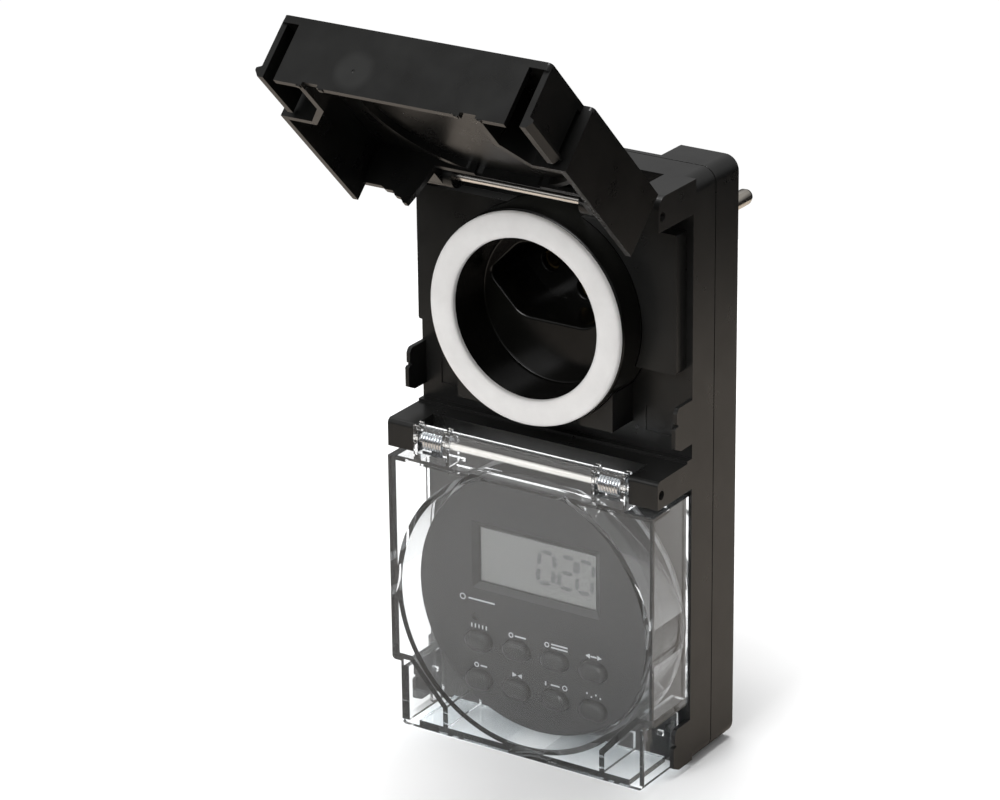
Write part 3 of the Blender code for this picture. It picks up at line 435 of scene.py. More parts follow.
# ------------------------------------------------------------------ solids

def mesh_object(shape):
    """Turn a bmesh into an object with outward faces."""
    bmesh.ops.recalc_face_normals(shape, faces=shape.faces)
    mesh = bpy.data.meshes.new("piece")
    shape.to_mesh(mesh)
    shape.free()
    piece = bpy.data.objects.new("piece", mesh)
    bpy.context.scene.collection.objects.link(piece)
    return piece


def bridge_rings(shape, here, there):
    """Faces between two rings with equal numbers of vertices."""
    for index, corner in enumerate(here):
        after = (index + 1) % len(here)
        shape.faces.new((corner, here[after], there[after], there[index]))


def loft(outlines):
    """Closed solid through a run of equal outlines of (x, y, z) points, capped at both ends."""
    shape = bmesh.new()
    rings = [[shape.verts.new(point) for point in outline] for outline in outlines]
    shape.faces.new(rings[0])
    shape.faces.new(rings[-1])
    for here, there in zip(rings, rings[1:]):
        bridge_rings(shape, here, there)
    return mesh_object(shape)


def extrude(points, low, high, place):
    """Extrude a closed outline between two stations; place(a, b, station) gives the position."""
    return loft([[place(a, b, station) for a, b in points] for station in (low, high)])


def prism_y(points, front, back):
    """Outline in X and Z, extruded along Y."""
    return extrude(points, front, back, lambda a, b, station: (a, station, b))


def prism_x(points, left, right):
    """Outline in Y and Z, extruded along X."""
    return extrude(points, left, right, lambda a, b, station: (station, a, b))


def prism_z(points, low, high):
    """Outline in X and Y, extruded along Z."""
    return extrude(points, low, high, lambda a, b, station: (a, b, station))


def box(x_range, y_range, z_range):
    """Axis-aligned block."""
    (x0, x1), (z0, z1) = x_range, z_range
    return prism_y([(x0, z0), (x1, z0), (x1, z1), (x0, z1)], *y_range)


def disc_y(centre, radius, front, back, steps=48):
    """Round bar along Y."""
    return prism_y(circle(centre, radius, steps), front, back)


def disc_x(centre, radius, left, right, steps=40):
    """Round bar along X; centre is (y, z)."""
    return prism_x(circle(centre, radius, steps), left, right)


def spun_rings(shape, profile, centre, steps):
    """Copies of a (radius, y) profile, spun about a line along Y through centre (x, z)."""
    rings = []
    for step in range(steps):
        angle = 2.0 * math.pi * step / steps
        ring = []
        for radius, y in profile:
            x = centre[0] + radius * math.cos(angle)
            z = centre[1] + radius * math.sin(angle)
            ring.append(shape.verts.new((x, y, z)))
        rings.append(ring)
    return rings


def turned(profile, centre, steps=160):
    """Spin a closed (radius, y) profile into a ring-shaped solid."""
    shape = bmesh.new()
    rings = spun_rings(shape, profile, centre, steps)
    for step in range(steps):
        bridge_rings(shape, rings[step], rings[(step + 1) % steps])
    return mesh_object(shape)


def lathe(profile, centre, steps=160):
    """Spin an open-centred profile whose first two points lie on the axis."""
    shape = bmesh.new()
    low, high = profile[0][1], profile[1][1]
    ends = (shape.verts.new((centre[0], low, centre[1])), shape.verts.new((centre[0], high, centre[1])))
    rings = spun_rings(shape, profile[2:], centre, steps)
    for step in range(steps):
        here, there = rings[step], rings[(step + 1) % steps]
        shape.faces.new((ends[1], here[0], there[0]))
        for index in range(len(here) - 1):
            shape.faces.new((here[index], here[index + 1], there[index + 1], there[index]))
        shape.faces.new((here[-1], ends[0], there[-1]))
    return mesh_object(shape)


def combine(target, tool, operation):
    """Apply one exact boolean and remove the tool."""
    modifier = target.modifiers.new(operation, "BOOLEAN")
    modifier.operation = operation
    modifier.solver = "EXACT"
    modifier.object = tool
    graph = bpy.context.evaluated_depsgraph_get()
    result = bpy.data.meshes.new_from_object(target.evaluated_get(graph))
    target.modifiers.clear()
    spent = target.data
    target.data = result
    bpy.data.meshes.remove(spent)
    bpy.data.objects.remove(tool)


def unite(target, *tools):
    """Join solids that overlap into one body."""
    for tool in tools:
        combine(target, tool, "UNION")
    return target


def cut(target, *tools):
    """Take solids away from the target."""
    for tool in tools:
        combine(target, tool, "DIFFERENCE")
    return target


def joined(parts):
    """Several separate solids in one object."""
    shape = bmesh.new()
    for part in parts:
        shape.from_mesh(part.data)
        bpy.data.objects.remove(part)
    return mesh_object(shape)


def tidy_mesh(piece):
    """Merge coplanar faces and doubled points that booleans leave."""
    shape = bmesh.new()
    shape.from_mesh(piece.data)
    bmesh.ops.remove_doubles(shape, verts=shape.verts, dist=0.000004)
    bmesh.ops.dissolve_limit(shape, angle_limit=math.radians(0.6), verts=shape.verts, edges=shape.edges)
    bmesh.ops.recalc_face_normals(shape, faces=shape.faces)
    shape.to_mesh(piece.data)
    shape.free()


def mark_outer_edges(mesh):
    """Give the sharp outward edges a bevel weight and keep the inward ones as plain creases."""
    shape = bmesh.new()
    shape.from_mesh(mesh)
    weights = shape.edges.layers.float.new("bevel_weight_edge")
    for edge in shape.edges:
        if len(edge.link_faces) == 2 and edge.calc_face_angle() > SHARP_ANGLE:
            edge[weights] = 1.0 if edge.is_convex else 0.0
            edge.smooth = edge.is_convex
    shape.to_mesh(mesh)
    shape.free()


def settle(piece, name, material, body, nodes, bevel=0.0, transform=None, clean=True,
           outer_only=False):
    """Name and place a finished piece, round its edges, and let it ride and replace its CAD nodes."""
    if clean:
        tidy_mesh(piece)
    matrix = Matrix.Translation(BASE)
    if transform is not None:
        matrix = matrix @ transform
    piece.data.transform(matrix)
    piece.name = name
    piece.data.name = name
    piece.data.materials.clear()
    piece.data.materials.append(material)
    piece.data.shade_smooth()
    if outer_only:
        mark_outer_edges(piece.data)
    if bevel:
        modifier = piece.modifiers.new("rounding", "BEVEL")
        modifier.width = bevel
        modifier.segments = 2
        modifier.limit_method = "WEIGHT" if outer_only else "ANGLE"
        modifier.angle_limit = SHARP_ANGLE
        modifier.use_clamp_overlap = True
        modifier.miter_outer = "MITER_ARC"
        weighted = piece.modifiers.new("shading", "WEIGHTED_NORMAL")
        weighted.keep_sharp = True
        weighted.weight = 80
    else:
        piece.data.set_sharp_from_angle(angle=math.radians(35.0))
    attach(piece, body)
    if nodes:
        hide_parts(*nodes)


# ------------------------------------------------------------------ materials

SHELL_BLACK = moulded("shell_black", (0.0080, 0.0080, 0.0078), (0.0120, 0.0120, 0.0115), 0.30, 0.35)
LID_BLACK = moulded("lid_black", (0.0030, 0.0030, 0.0028), (0.0060, 0.0060, 0.0056), 0.29, 0.33)
INSERT_BLACK = moulded("insert_black", (0.0022, 0.0022, 0.0018), (0.0040, 0.0040, 0.0034), 0.22, 0.32,
                       grain=0.0, flow=0.0)
FACE_BLACK = moulded("face_black", (0.0090, 0.0094, 0.0098), (0.0110, 0.0114, 0.0118), 0.48, 0.3,
                     grain=0.0, flow=0.0)
BUTTON_BLACK = moulded("button_black", (0.0060, 0.0063, 0.0066), (0.0080, 0.0083, 0.0086), 0.42, 0.3,
                       grain=0.0, flow=0.0)
PRINT_GREY = moulded("print_grey", (0.34, 0.35, 0.36), (0.42, 0.43, 0.44), 0.60, 0.3)
LCD_GREY = moulded("lcd_grey", (0.088, 0.086, 0.079), (0.100, 0.098, 0.091), 0.34, 0.3,
                   grain=0.0, flow=0.0)
LCD_INK = moulded("lcd_ink", (0.016, 0.016, 0.016), (0.024, 0.024, 0.024), 0.40, 0.3,
                  grain=0.0, flow=0.0)
SEAL_WHITE = soft_rubber("seal_white", (0.76, 0.745, 0.73), (0.82, 0.805, 0.79), 0.50)
GASKET_GREY = soft_rubber("gasket_grey", (0.16, 0.16, 0.16), (0.24, 0.24, 0.24), 0.70)
ROD_STEEL = metal("rod_steel", (0.74, 0.71, 0.67), (0.88, 0.85, 0.81), 0.22, (0.02, 1.0, 1.0))
SPRING_STEEL = metal("spring_steel", (0.74, 0.77, 0.80), (0.90, 0.92, 0.94), 0.22, (1.0, 1.0, 1.0))
PIN_NICKEL = metal("pin_nickel", (0.55, 0.50, 0.44), (0.72, 0.68, 0.62), 0.20, (1.0, 0.03, 1.0))
# brass toned far darker than bright brass: painted shade, so the sleeves deep behind the pin holes read as
# dark
SHADED_BRASS = metal("contact_brass", (0.30, 0.21, 0.09), (0.42, 0.31, 0.14), 0.38, (1.0, 0.1, 1.0))
CLEAR = clear_plastic("clear_plastic", (0.975, 0.982, 0.985))
BOARD_GREEN = board_material("board_green", (0.02, 0.13, 0.06), (0.06, 0.26, 0.13))
RELAY_BLUE = moulded("relay_blue", (0.04, 0.09, 0.24), (0.06, 0.13, 0.32), 0.35)
CAPACITOR_YELLOW = moulded("capacitor_yellow", (0.50, 0.37, 0.08), (0.62, 0.47, 0.12), 0.40)
CAN_BLACK = moulded("can_black", (0.02, 0.02, 0.03), (0.04, 0.04, 0.05), 0.30)
KEYPAD_GREY = soft_rubber("keypad_grey", (0.26, 0.26, 0.27), (0.34, 0.34, 0.35), 0.65)

for node, material in (
    ("neutral_sleeve", SHADED_BRASS), ("live_sleeve", SHADED_BRASS), ("earth_sleeve", SHADED_BRASS),
    ("neutral_strap", SHADED_BRASS), ("live_in_strap", SHADED_BRASS), ("live_out_strap", SHADED_BRASS), ("earth_link", SHADED_BRASS),
    ("power_board", BOARD_GREEN), ("timer_board", BOARD_GREEN), ("relay", RELAY_BLUE),
    ("film_capacitor", CAPACITOR_YELLOW), ("smoothing_capacitor", CAN_BLACK),
    ("backup_battery", SPRING_STEEL),
    ("keypad_mat", KEYPAD_GREY), ("timer_back_plate", SHELL_BLACK), ("cover_gasket", GASKET_GREY),
):
    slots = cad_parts[node].data.materials
    slots.clear()
    slots.append(material)


# ------------------------------------------------------------------ housing shells

def hook(side, low_z, high_z):
    """Latch hook: a thin blade, deeper below a small notch than above it."""
    chamfer, root, waist = 0.0012, WALL / 2, 0.0004
    middle = low_z + 0.55 * (high_z - low_z)
    outline = [
        (root, low_z),
        (-HOOK_DEPTH + 2 * chamfer, low_z),
        (-HOOK_DEPTH, low_z + chamfer),
        (-HOOK_DEPTH, middle),
        (-HOOK_DEPTH + waist, middle + waist),
        (-HOOK_DEPTH + 3 * waist, middle + waist),
        (-HOOK_DEPTH + 3 * waist, middle + 2 * waist),
        (-HOOK_DEPTH + 1.5 * waist, middle + 3 * waist),
        (-HOOK_DEPTH + 1.5 * waist, high_z - chamfer),
        (-HOOK_DEPTH + 1.5 * waist + chamfer / 2, high_z - chamfer / 4),
        (-HOOK_DEPTH + 1.5 * waist + chamfer, high_z),
        (root, high_z),
    ]
    inner, outer = side * (HALF_WIDTH - HOOK_THICKNESS), side * HALF_WIDTH
    return prism_x(outline, *sorted((inner, outer)))


def lug(side, low_z, high_z, round_radius):
    """Hinge lug with a rounded upper front edge."""
    bend = (LUG_FRONT_Y + round_radius, high_z - round_radius)
    outline = [(WALL / 2, low_z), (LUG_FRONT_Y, low_z)]
    outline += arc(bend, round_radius, 180, 90, 8)
    outline += [(WALL / 2, high_z)]
    return prism_x(outline, *sorted((side * LUG_INNER_X, side * HALF_WIDTH)))


def make_front_shell():
    """Front shell with its socket panel, bridge, lugs, hooks and feet."""
    back = SEAM_Y - GAP / 2
    shell = prism_y(rounded_rectangle(HALF_WIDTH, 0.0, HEIGHT, CORNER_RADIUS), 0.0, back)
    inside = rounded_rectangle(HALF_WIDTH - WALL, WALL, HEIGHT - WALL, CORNER_RADIUS - WALL)
    cut(shell, prism_y(inside, WALL, SEAM_Y + WALL))
    panel = softened([(-PANEL_HALF_WIDTH, PANEL_BOTTOM_Z), (PANEL_HALF_WIDTH, PANEL_BOTTOM_Z),
                      (PANEL_HALF_WIDTH, PANEL_TOP_Z), (-PANEL_HALF_WIDTH, PANEL_TOP_Z)], 0.0006)
    unite(shell, prism_y(panel, PANEL_Y, WALL / 2))
    across = (-HALF_WIDTH, HALF_WIDTH)
    unite(shell, box(across, (BRIDGE_FRONT_Y, WALL / 2), (BRIDGE_BOTTOM_Z, BRIDGE_TOP_Z)))
    unite(shell, box(across, (-0.0020, WALL / 2), (BRIDGE_BOTTOM_Z, BRIDGE_TOP_Z + 0.0006)))
    for side in (-1, 1):
        unite(shell, lug(side, UPPER_LUG_BOTTOM_Z, HEIGHT, 0.0028))
        unite(shell, lug(side, BRIDGE_BOTTOM_Z, BRIDGE_TOP_Z, 0.0012))
        for low_z, high_z in HOOK_RANGES_Z:
            unite(shell, hook(side, low_z, high_z))
        # stepped foot under the collar, and a thin sunk pad beside it
        foot = sorted(side * x for x in FOOT_X)
        unite(shell, box(foot, (FOOT_FRONT_Y, WALL / 2), FOOT_Z))
        step = sorted(side * x for x in FOOT_STEP_X)
        unite(shell, box(step, (FOOT_STEP_FRONT_Y, WALL / 2), FOOT_STEP_Z))
        pad = sorted(side * x for x in PAD_X)
        cut(shell, box(pad, (-WALL, PAD_DEPTH), PAD_Z))
    for pivot_z in (LID_PIVOT_Z, COVER_PIVOT_Z):
        bore = ROD_RADIUS + RUNNING_GAP
        cut(shell, disc_x((PIVOT_Y, pivot_z), bore, -2 * HALF_WIDTH, 2 * HALF_WIDTH, 24))
    cut(shell, disc_y((0, SOCKET_Z), COLLAR_RADIUS + RUNNING_GAP, 4 * PANEL_Y, SEAM_Y, 160))
    cut(shell, disc_y((0, TIMER_Z), FACE_RADIUS + GAP, 4 * PANEL_Y, SEAM_Y, 160))
    return shell


def make_rear_shell():
    """Rear shell with its recess for the plug's neck, label field, slots and screw sinks."""
    front = SEAM_Y + GAP / 2
    shell = prism_y(rounded_rectangle(HALF_WIDTH, 0.0, HEIGHT, CORNER_RADIUS), front, BACK_Y)
    lower_inside = [
        (HALF_WIDTH - WALL, WALL),
        (HALF_WIDTH - WALL, HEIGHT - WALL),
        (RECESS_HALF_WIDTH + WALL, HEIGHT - WALL),
        (RECESS_HALF_WIDTH + WALL, RECESS_BOTTOM_Z - WALL),
    ]
    outline = lower_inside + mirrored(lower_inside)
    cut(shell, prism_y(outline, SEAM_Y - WALL, BACK_Y - WALL))
    recess = (RECESS_BOTTOM_Z, HEIGHT + WALL)
    cut(shell, box((-RECESS_HALF_WIDTH, RECESS_HALF_WIDTH), (RECESS_Y, BACK_Y + WALL), recess))
    # shallow plain label field and four heat slots on the back
    field = rounded_rectangle(LABEL_HALF_WIDTH, *LABEL_Z, 0.0020)
    cut(shell, prism_y(field, BACK_Y - 0.0004, BACK_Y + WALL))
    for step in range(4):
        low = FIRST_SLOT_Z + SLOT_PITCH * step
        high = low + SLOT_HEIGHT
        slot = [(SLOT_HALF_WIDTH, low), (SLOT_HALF_WIDTH, high)]
        slot += mirrored(slot)
        cut(shell, prism_y(softened(slot, SLOT_HEIGHT / 2), BACK_Y - 0.0012, BACK_Y + WALL))
    for place in SCREW_PLACES:
        unite(shell, disc_y(place, SCREW_BOSS_RADIUS, front, BACK_Y - WALL / 2, 32))
        cut(shell, disc_y(place, SCREW_SINK_RADIUS, BACK_Y - SCREW_SINK_DEPTH, BACK_Y + WALL, 32))
    cut(shell, disc_y((0, SOCKET_Z + WALL), 0.0205, SEAM_Y - WALL, RECESS_Y + WALL, 96))
    return shell


# ------------------------------------------------------------------ socket and plug

def pin_places(centre_z):
    """Positions (x, z) of neutral, live and earth, seen from the front."""
    half = PIN_SPACING / 2
    return [(-half, centre_z), (half, centre_z), (0.0, centre_z - EARTH_DROP)]


def flared_recess(edge_radius):
    """Cutter for the hexagonal recess, widening in a quarter round at its mouth."""
    stations = [(-WALL, edge_radius + 0.0002)]
    for step in range(7):
        depth = edge_radius * step / 6
        inset = math.sqrt(max(0.0, edge_radius ** 2 - (edge_radius - depth) ** 2))
        stations.append((depth, edge_radius - inset))
    stations.append((HEX_FLOOR_Y, 0.0))
    outlines = []
    for y, grow in stations:
        outline = softened(hexagon(HEX_HALF_WIDTH + grow, HEX_HALF_HEIGHT + grow, HEX_Z), 0.0026, 6)
        outlines.append([(x, y, z) for x, z in outline])
    return loft(outlines)


def make_insert():
    """Collar and round well in one, with the hexagonal cup and its pin holes."""
    floor_back, wall, lip_back = 0.0020, 0.0015, -0.0098
    flange = (0.0023, 0.0043)
    outer = [
        (0.0, floor_back),
        (0.0, 0.0),
        (WELL_RADIUS - 0.0006, 0.0),
        (WELL_RADIUS - 0.0002, -0.0002),
        (WELL_RADIUS, -0.0006),
        (WELL_RADIUS, COLLAR_FRONT_Y),
        (COLLAR_RADIUS - 0.0005, COLLAR_FRONT_Y),
        (COLLAR_RADIUS - 0.0001, COLLAR_FRONT_Y + 0.0002),
        (COLLAR_RADIUS, COLLAR_FRONT_Y + 0.0006),
        (COLLAR_RADIUS, flange[0]),
        (COLLAR_RADIUS + 0.0022, flange[0]),
        (COLLAR_RADIUS + 0.0022, flange[1]),
        (COLLAR_RADIUS - wall, flange[1]),
        (COLLAR_RADIUS - wall, lip_back),
        (WELL_RADIUS + wall, lip_back),
        (WELL_RADIUS + wall, floor_back),
    ]
    insert = lathe(outer, (0, SOCKET_Z))
    cup_back = HEX_FLOOR_Y + CUP_FLOOR
    grow = 0.0014
    cup = hexagon(HEX_HALF_WIDTH + grow, HEX_HALF_HEIGHT + grow, HEX_Z)
    unite(insert, prism_y(cup, floor_back / 2, cup_back))
    cut(insert, flared_recess(0.0008))
    for place in pin_places(HEX_Z):
        cut(insert, disc_y(place, PIN_RADIUS + GAP, HEX_FLOOR_Y - WALL, cup_back + WALL, 32))
        cone = turned([(PIN_RADIUS, HEX_FLOOR_Y + 0.0006), (PIN_RADIUS + 0.0009, HEX_FLOOR_Y - 0.0002),
                       (0.0002, HEX_FLOOR_Y - 0.0002), (0.0002, HEX_FLOOR_Y + 0.0006)], place, 32)
        cut(insert, cone)
    return insert


def make_seal():
    """Soft ring with a domed face."""
    middle = (WELL_RADIUS + SEAL_RADIUS) / 2
    half = (SEAL_RADIUS - WELL_RADIUS) / 2
    back = COLLAR_FRONT_Y - 0.0001
    base = back - 0.0005
    profile = [(middle + half, back), (middle - half, back)]
    for x, y in arc((0.0, 0.0), 1.0, 180, 0, 20):
        shoulder = math.copysign(abs(x) ** 0.8, x)
        profile.append((middle + half * shoulder, base - (base - SEAL_FRONT_Y) * y ** 0.7))
    return turned(profile, (0, SOCKET_Z), 192)


def make_plug_body():
    """Round neck of the plug with its wider bowl at the housing."""
    front = RECESS_Y + GAP
    profile = [
        (0.0, PIN_ROOT_Y - GAP),
        (0.0, PLUG_SHOULDER_Y),
        (NECK_RADIUS - 0.0008, PLUG_SHOULDER_Y),
        (NECK_RADIUS, PLUG_SHOULDER_Y - 0.0008),
        (NECK_RADIUS, BOWL_BACK_Y),
        (BOWL_RADIUS - 0.0006, BOWL_BACK_Y),
        (BOWL_RADIUS, BOWL_BACK_Y - 0.0006),
        (BOWL_RADIUS, front),
        (BOWL_RADIUS - 0.0014, front),
        (BOWL_RADIUS - 0.0014, BOWL_BACK_Y - 0.0015),
        (NECK_RADIUS - 0.0017, BOWL_BACK_Y - 0.0015),
        (NECK_RADIUS - 0.0017, PIN_ROOT_Y - GAP),
    ]
    body = lathe(profile, (0, NECK_Z), 128)
    # grip grooves along the neck
    for place in circle((0.0, NECK_Z), NECK_RADIUS, 24):
        cut(body, disc_y(place, 0.0004, 0.0215, 0.0335, 10))
    return body


def make_plug_nose():
    """Hexagonal carrier of the three pins."""
    outline = softened(hexagon(NOSE_HALF_WIDTH, NOSE_HALF_HEIGHT, PLUG_Z), 0.0014, 4)
    nose = prism_y(outline, PLUG_SHOULDER_Y + RUNNING_GAP, PLUG_FACE_Y)
    for place in pin_places(PLUG_Z):
        cut(nose, disc_y(place, PIN_RADIUS + RUNNING_GAP, PLUG_SHOULDER_Y, PLUG_FACE_Y + WALL, 32))
    return nose


def make_pin(place, grooved):
    """Round pin with a domed tip and, on neutral and live, a shallow groove near its root."""
    tip = PLUG_FACE_Y + PIN_LENGTH
    profile = [(0.0, PIN_ROOT_Y), (0.0, tip), (0.0009, tip - 0.00015), (0.0016, tip - 0.0007)]
    profile += [(PIN_RADIUS, tip - 0.0018)]
    if grooved:
        groove = PLUG_FACE_Y + 0.0012
        profile += [(PIN_RADIUS, groove + 0.0004), (PIN_RADIUS - 0.00012, groove + 0.0002)]
        profile += [(PIN_RADIUS - 0.00012, groove), (PIN_RADIUS, groove - 0.0002)]
    profile += [(PIN_RADIUS, PIN_ROOT_Y)]
    return lathe(profile, place, 40)


# ------------------------------------------------------------------ hinged hoods

def hood_outline(half_width, tab_width, top_z, step_z, end_z):
    """Front plate: wide part by the hinge, narrower part by the latch."""
    edge = 0.0010
    right = arc((tab_width - edge, end_z + edge), edge, 270, 360, 6)
    right += [(tab_width, step_z)]
    right += arc((half_width - edge, step_z + edge), edge, 270, 360, 6)
    right += [(half_width, top_z)]
    return right + mirrored(right)


def hood_walls(half_width, top_z, step_z, end_z, neck):
    """Outlines of the wall lengths on the right side, their reflections, and the end wall."""
    neck_x, bend_z, shoulder_x = neck
    wall = HOOD_WALL
    slope = wall * 0.42
    side = [
        (half_width - wall, step_z),
        (half_width, step_z),
        (half_width, top_z),
        (half_width - wall, top_z),
    ]
    inner = [
        (half_width - wall / 2, step_z + wall),
        (shoulder_x, step_z + wall),
        (neck_x, bend_z + slope),
        (neck_x, end_z + wall / 2),
        (neck_x + wall, end_z + wall / 2),
        (neck_x + wall, bend_z),
        (shoulder_x + slope, step_z),
        (half_width - wall / 2, step_z),
    ]
    end = [
        (-END_WALL_HALF_WIDTH, end_z),
        (END_WALL_HALF_WIDTH, end_z),
        (END_WALL_HALF_WIDTH, end_z + wall),
        (-END_WALL_HALF_WIDTH, end_z + wall),
    ]
    return [side, mirrored(side), inner, mirrored(inner), end]


def snap_tab(side, tab_width, low_z, high_z):
    """Flexible tab of the hood's latch end, with an outward wedge along its rim."""
    wall = HOOD_WALL
    outer, rim, plate = tab_width, HOOD_RIM_Y - 0.0004, HOOD_FRONT_Y + HOOD_PLATE / 2
    outline = [
        (outer - wall, plate),
        (outer, plate),
        (outer, rim - 0.0026),
        (outer + TAB_OVERHANG, rim - 0.0020),
        (outer + TAB_OVERHANG, rim - 0.0014),
        (outer, rim),
        (outer - wall, rim),
    ]
    if side < 0:
        outline = mirrored(outline)
    return prism_z(outline, low_z, high_z)


def cheek_outline(pivot_z, top_z, lintel_z):
    """Hinge cheek in Y and Z: round at the back of the rod, level with the plate in front."""
    outline = [(HOOD_FRONT_Y, top_z - HOOD_WALL), (HOOD_FRONT_Y, lintel_z)]
    outline += [(PIVOT_Y + GAP, lintel_z)]
    outline += arc((PIVOT_Y, pivot_z), CHEEK_RADIUS, 80, -10, 12)
    outline += [(PIVOT_Y + CHEEK_RADIUS, top_z - HOOD_WALL)]
    return outline


def knuckle_wall(side, rim_y, low_z, high_z, scalloped):
    """Hinge wall beside a knuckle; the lid's left one deepens in steps, its right one is cut back."""
    start = HOOD_FRONT_Y + HOOD_PLATE - HOOD_WALL
    outer = HALF_WIDTH - HOOD_WALL / 2
    if scalloped and side > 0:
        low_rim_y = -0.0098
        outline = [(outer, start), (outer, rim_y), (0.0300, rim_y), (0.0288, low_rim_y)]
        outline += [(KNUCKLE_INNER_X, low_rim_y), (KNUCKLE_INNER_X, start)]
        return prism_z(outline, low_z, high_z)
    if not scalloped:
        return box(sorted((side * KNUCKLE_INNER_X, side * outer)), (start, rim_y), (low_z, high_z))
    outline = [
        (outer, start),
        (outer, rim_y),
        (0.0295, rim_y),
        (0.0283, rim_y + 0.0006),
        (0.0262, rim_y + 0.0006),
        (0.0252, rim_y + 0.0016),
        (0.0236, rim_y + 0.0018),
        (0.0225, rim_y + 0.0029),
        (0.0216, rim_y + 0.0029),
        (0.0200, rim_y - 0.0018),
        (KNUCKLE_INNER_X, PIVOT_Y + CHEEK_RADIUS),
        (KNUCKLE_INNER_X, start),
    ]
    return prism_z(mirrored(outline), low_z, high_z)


def make_hood(pivot_z, sizes, neck, hinge_wall_rim_y, spring_space):
    """Box-shaped hood with hinge knuckles at the top and snap tabs at the latch end."""
    half_width, tab_width, top_z, step_z, end_z = sizes
    plate_back = HOOD_FRONT_Y + HOOD_PLATE
    hood = prism_y(hood_outline(*sizes), HOOD_FRONT_Y, plate_back)
    for wall in hood_walls(half_width, top_z, step_z, end_z, neck):
        unite(hood, prism_y(wall, HOOD_FRONT_Y + HOOD_PLATE / 2, HOOD_RIM_Y))
    hinge_wall = (top_z - HOOD_WALL, top_z)
    side_x = half_width - HOOD_WALL / 2
    unite(hood, box((-side_x, side_x), (plate_back - HOOD_WALL, plate_back + LIP_DEPTH), hinge_wall))
    lintel_z = pivot_z + LINTEL_RISE
    strip_top = pivot_z - LINTEL_RISE + 0.0010 if spring_space else lintel_z
    for side in (-1, 1):
        unite(hood, knuckle_wall(side, hinge_wall_rim_y, *hinge_wall, not spring_space))
        strip = sorted((side * KNUCKLE_INNER_X, side * KNUCKLE_OUTER_X))
        unite(hood, box(strip, (HOOD_FRONT_Y, plate_back), (top_z - HOOD_WALL, strip_top)))
        cheeks = [(KNUCKLE_INNER_X, KNUCKLE_OUTER_X)]
        if spring_space:
            cheeks = [
                (KNUCKLE_INNER_X, KNUCKLE_INNER_X + CHEEK),
                (KNUCKLE_OUTER_X - CHEEK, KNUCKLE_OUTER_X),
            ]
        for inner, outer in cheeks:
            left, right = sorted((side * inner, side * outer))
            unite(hood, prism_x(cheek_outline(pivot_z, top_z, lintel_z), left, right))
        unite(hood, snap_tab(side, tab_width, end_z + 0.0006, step_z - 0.0016))
    web_x = KNUCKLE_INNER_X + CHEEK / 2
    unite(hood, box((-web_x, web_x), (HOOD_FRONT_Y, WEB_BACK_Y), (top_z - HOOD_WALL, lintel_z)))
    lintel = (lintel_z - 0.0010, lintel_z)
    unite(hood, box((-KNUCKLE_OUTER_X, KNUCKLE_OUTER_X), (HOOD_FRONT_Y, plate_back), lintel))
    return hood


def bore_knuckles(hood, pivot_z):
    """Running holes for the hinge rod."""
    return cut(hood, disc_x((PIVOT_Y, pivot_z), ROD_RADIUS + RUNNING_GAP, -HALF_WIDTH, HALF_WIDTH, 24))


def ring_wall(radii, rim_y, centre_z, top_z):
    """Round wall on the inside of a hood's plate, trimmed at the hinge end."""
    inner, outer = radii
    front = HOOD_FRONT_Y + HOOD_PLATE / 2
    ring = turned([(inner, front), (outer, front), (outer, rim_y), (inner, rim_y)], (0, centre_z))
    above = (top_z - 0.0004, HEIGHT)
    return cut(ring, box((-HALF_WIDTH, HALF_WIDTH), (2 * HOOD_FRONT_Y, WALL), above))


def make_lid():
    """Black lid over the socket, drawn closed."""
    end_z, top_z = LID_SIZES[4], LID_SIZES[2]
    lid = make_hood(LID_PIVOT_Z, LID_SIZES, LID_NECK, LID_KNUCKLE_RIM_Y, False)
    for side in (-1, 1):
        notch = sorted((side * LID_NOTCH_X[0], side * LID_NOTCH_X[1]))
        cut(lid, box(notch, (HOOD_RIM_Y - 0.0008, WALL), (end_z - WALL, end_z + WALL)))
    lip = (HOOD_FRONT_Y + HOOD_PLATE, PIVOT_Y + LIP_DEPTH)
    room = (-LIP_NOTCH_HALF_WIDTH, LIP_NOTCH_HALF_WIDTH)
    cut(lid, box(room, lip, (top_z - WALL, SOCKET_Z + SEAL_RADIUS + GAP)))
    # bosses that carry the rod inside the lid
    for side in (-1, 1):
        boss = sorted((side * BOSS_INNER_X, side * KNUCKLE_OUTER_X))
        unite(lid, disc_x((PIVOT_Y, LID_PIVOT_Z), CHEEK_RADIUS, *boss, 48))
    # teeth beside the notches on the latch rim
    for x in TOOTH_PLACES_X:
        tooth = (x - 0.0005, x + 0.0005)
        height = (end_z + 0.0002, end_z + HOOD_WALL - 0.0002)
        unite(lid, box(tooth, (HOOD_RIM_Y - 0.0006, HOOD_RIM_Y + 0.0002), height))
    # pressing ring round the seal, on the inside of the plate
    ring = ring_wall(SOCKET_RING_RADII, SOCKET_RING_RIM_Y, SOCKET_Z, top_z)
    cut(ring, box((-HALF_WIDTH, HALF_WIDTH), (2 * HOOD_FRONT_Y, WALL), (0.0, end_z + 0.0004)))
    unite(lid, ring)
    # pip in the middle of the gate mark on the latch end wall
    pip = circle(GATE_CENTRE, 0.0004, 16)
    cut(lid, prism_z(pip, end_z - WALL, end_z + 0.00020))
    return bore_knuckles(lid, LID_PIVOT_Z)


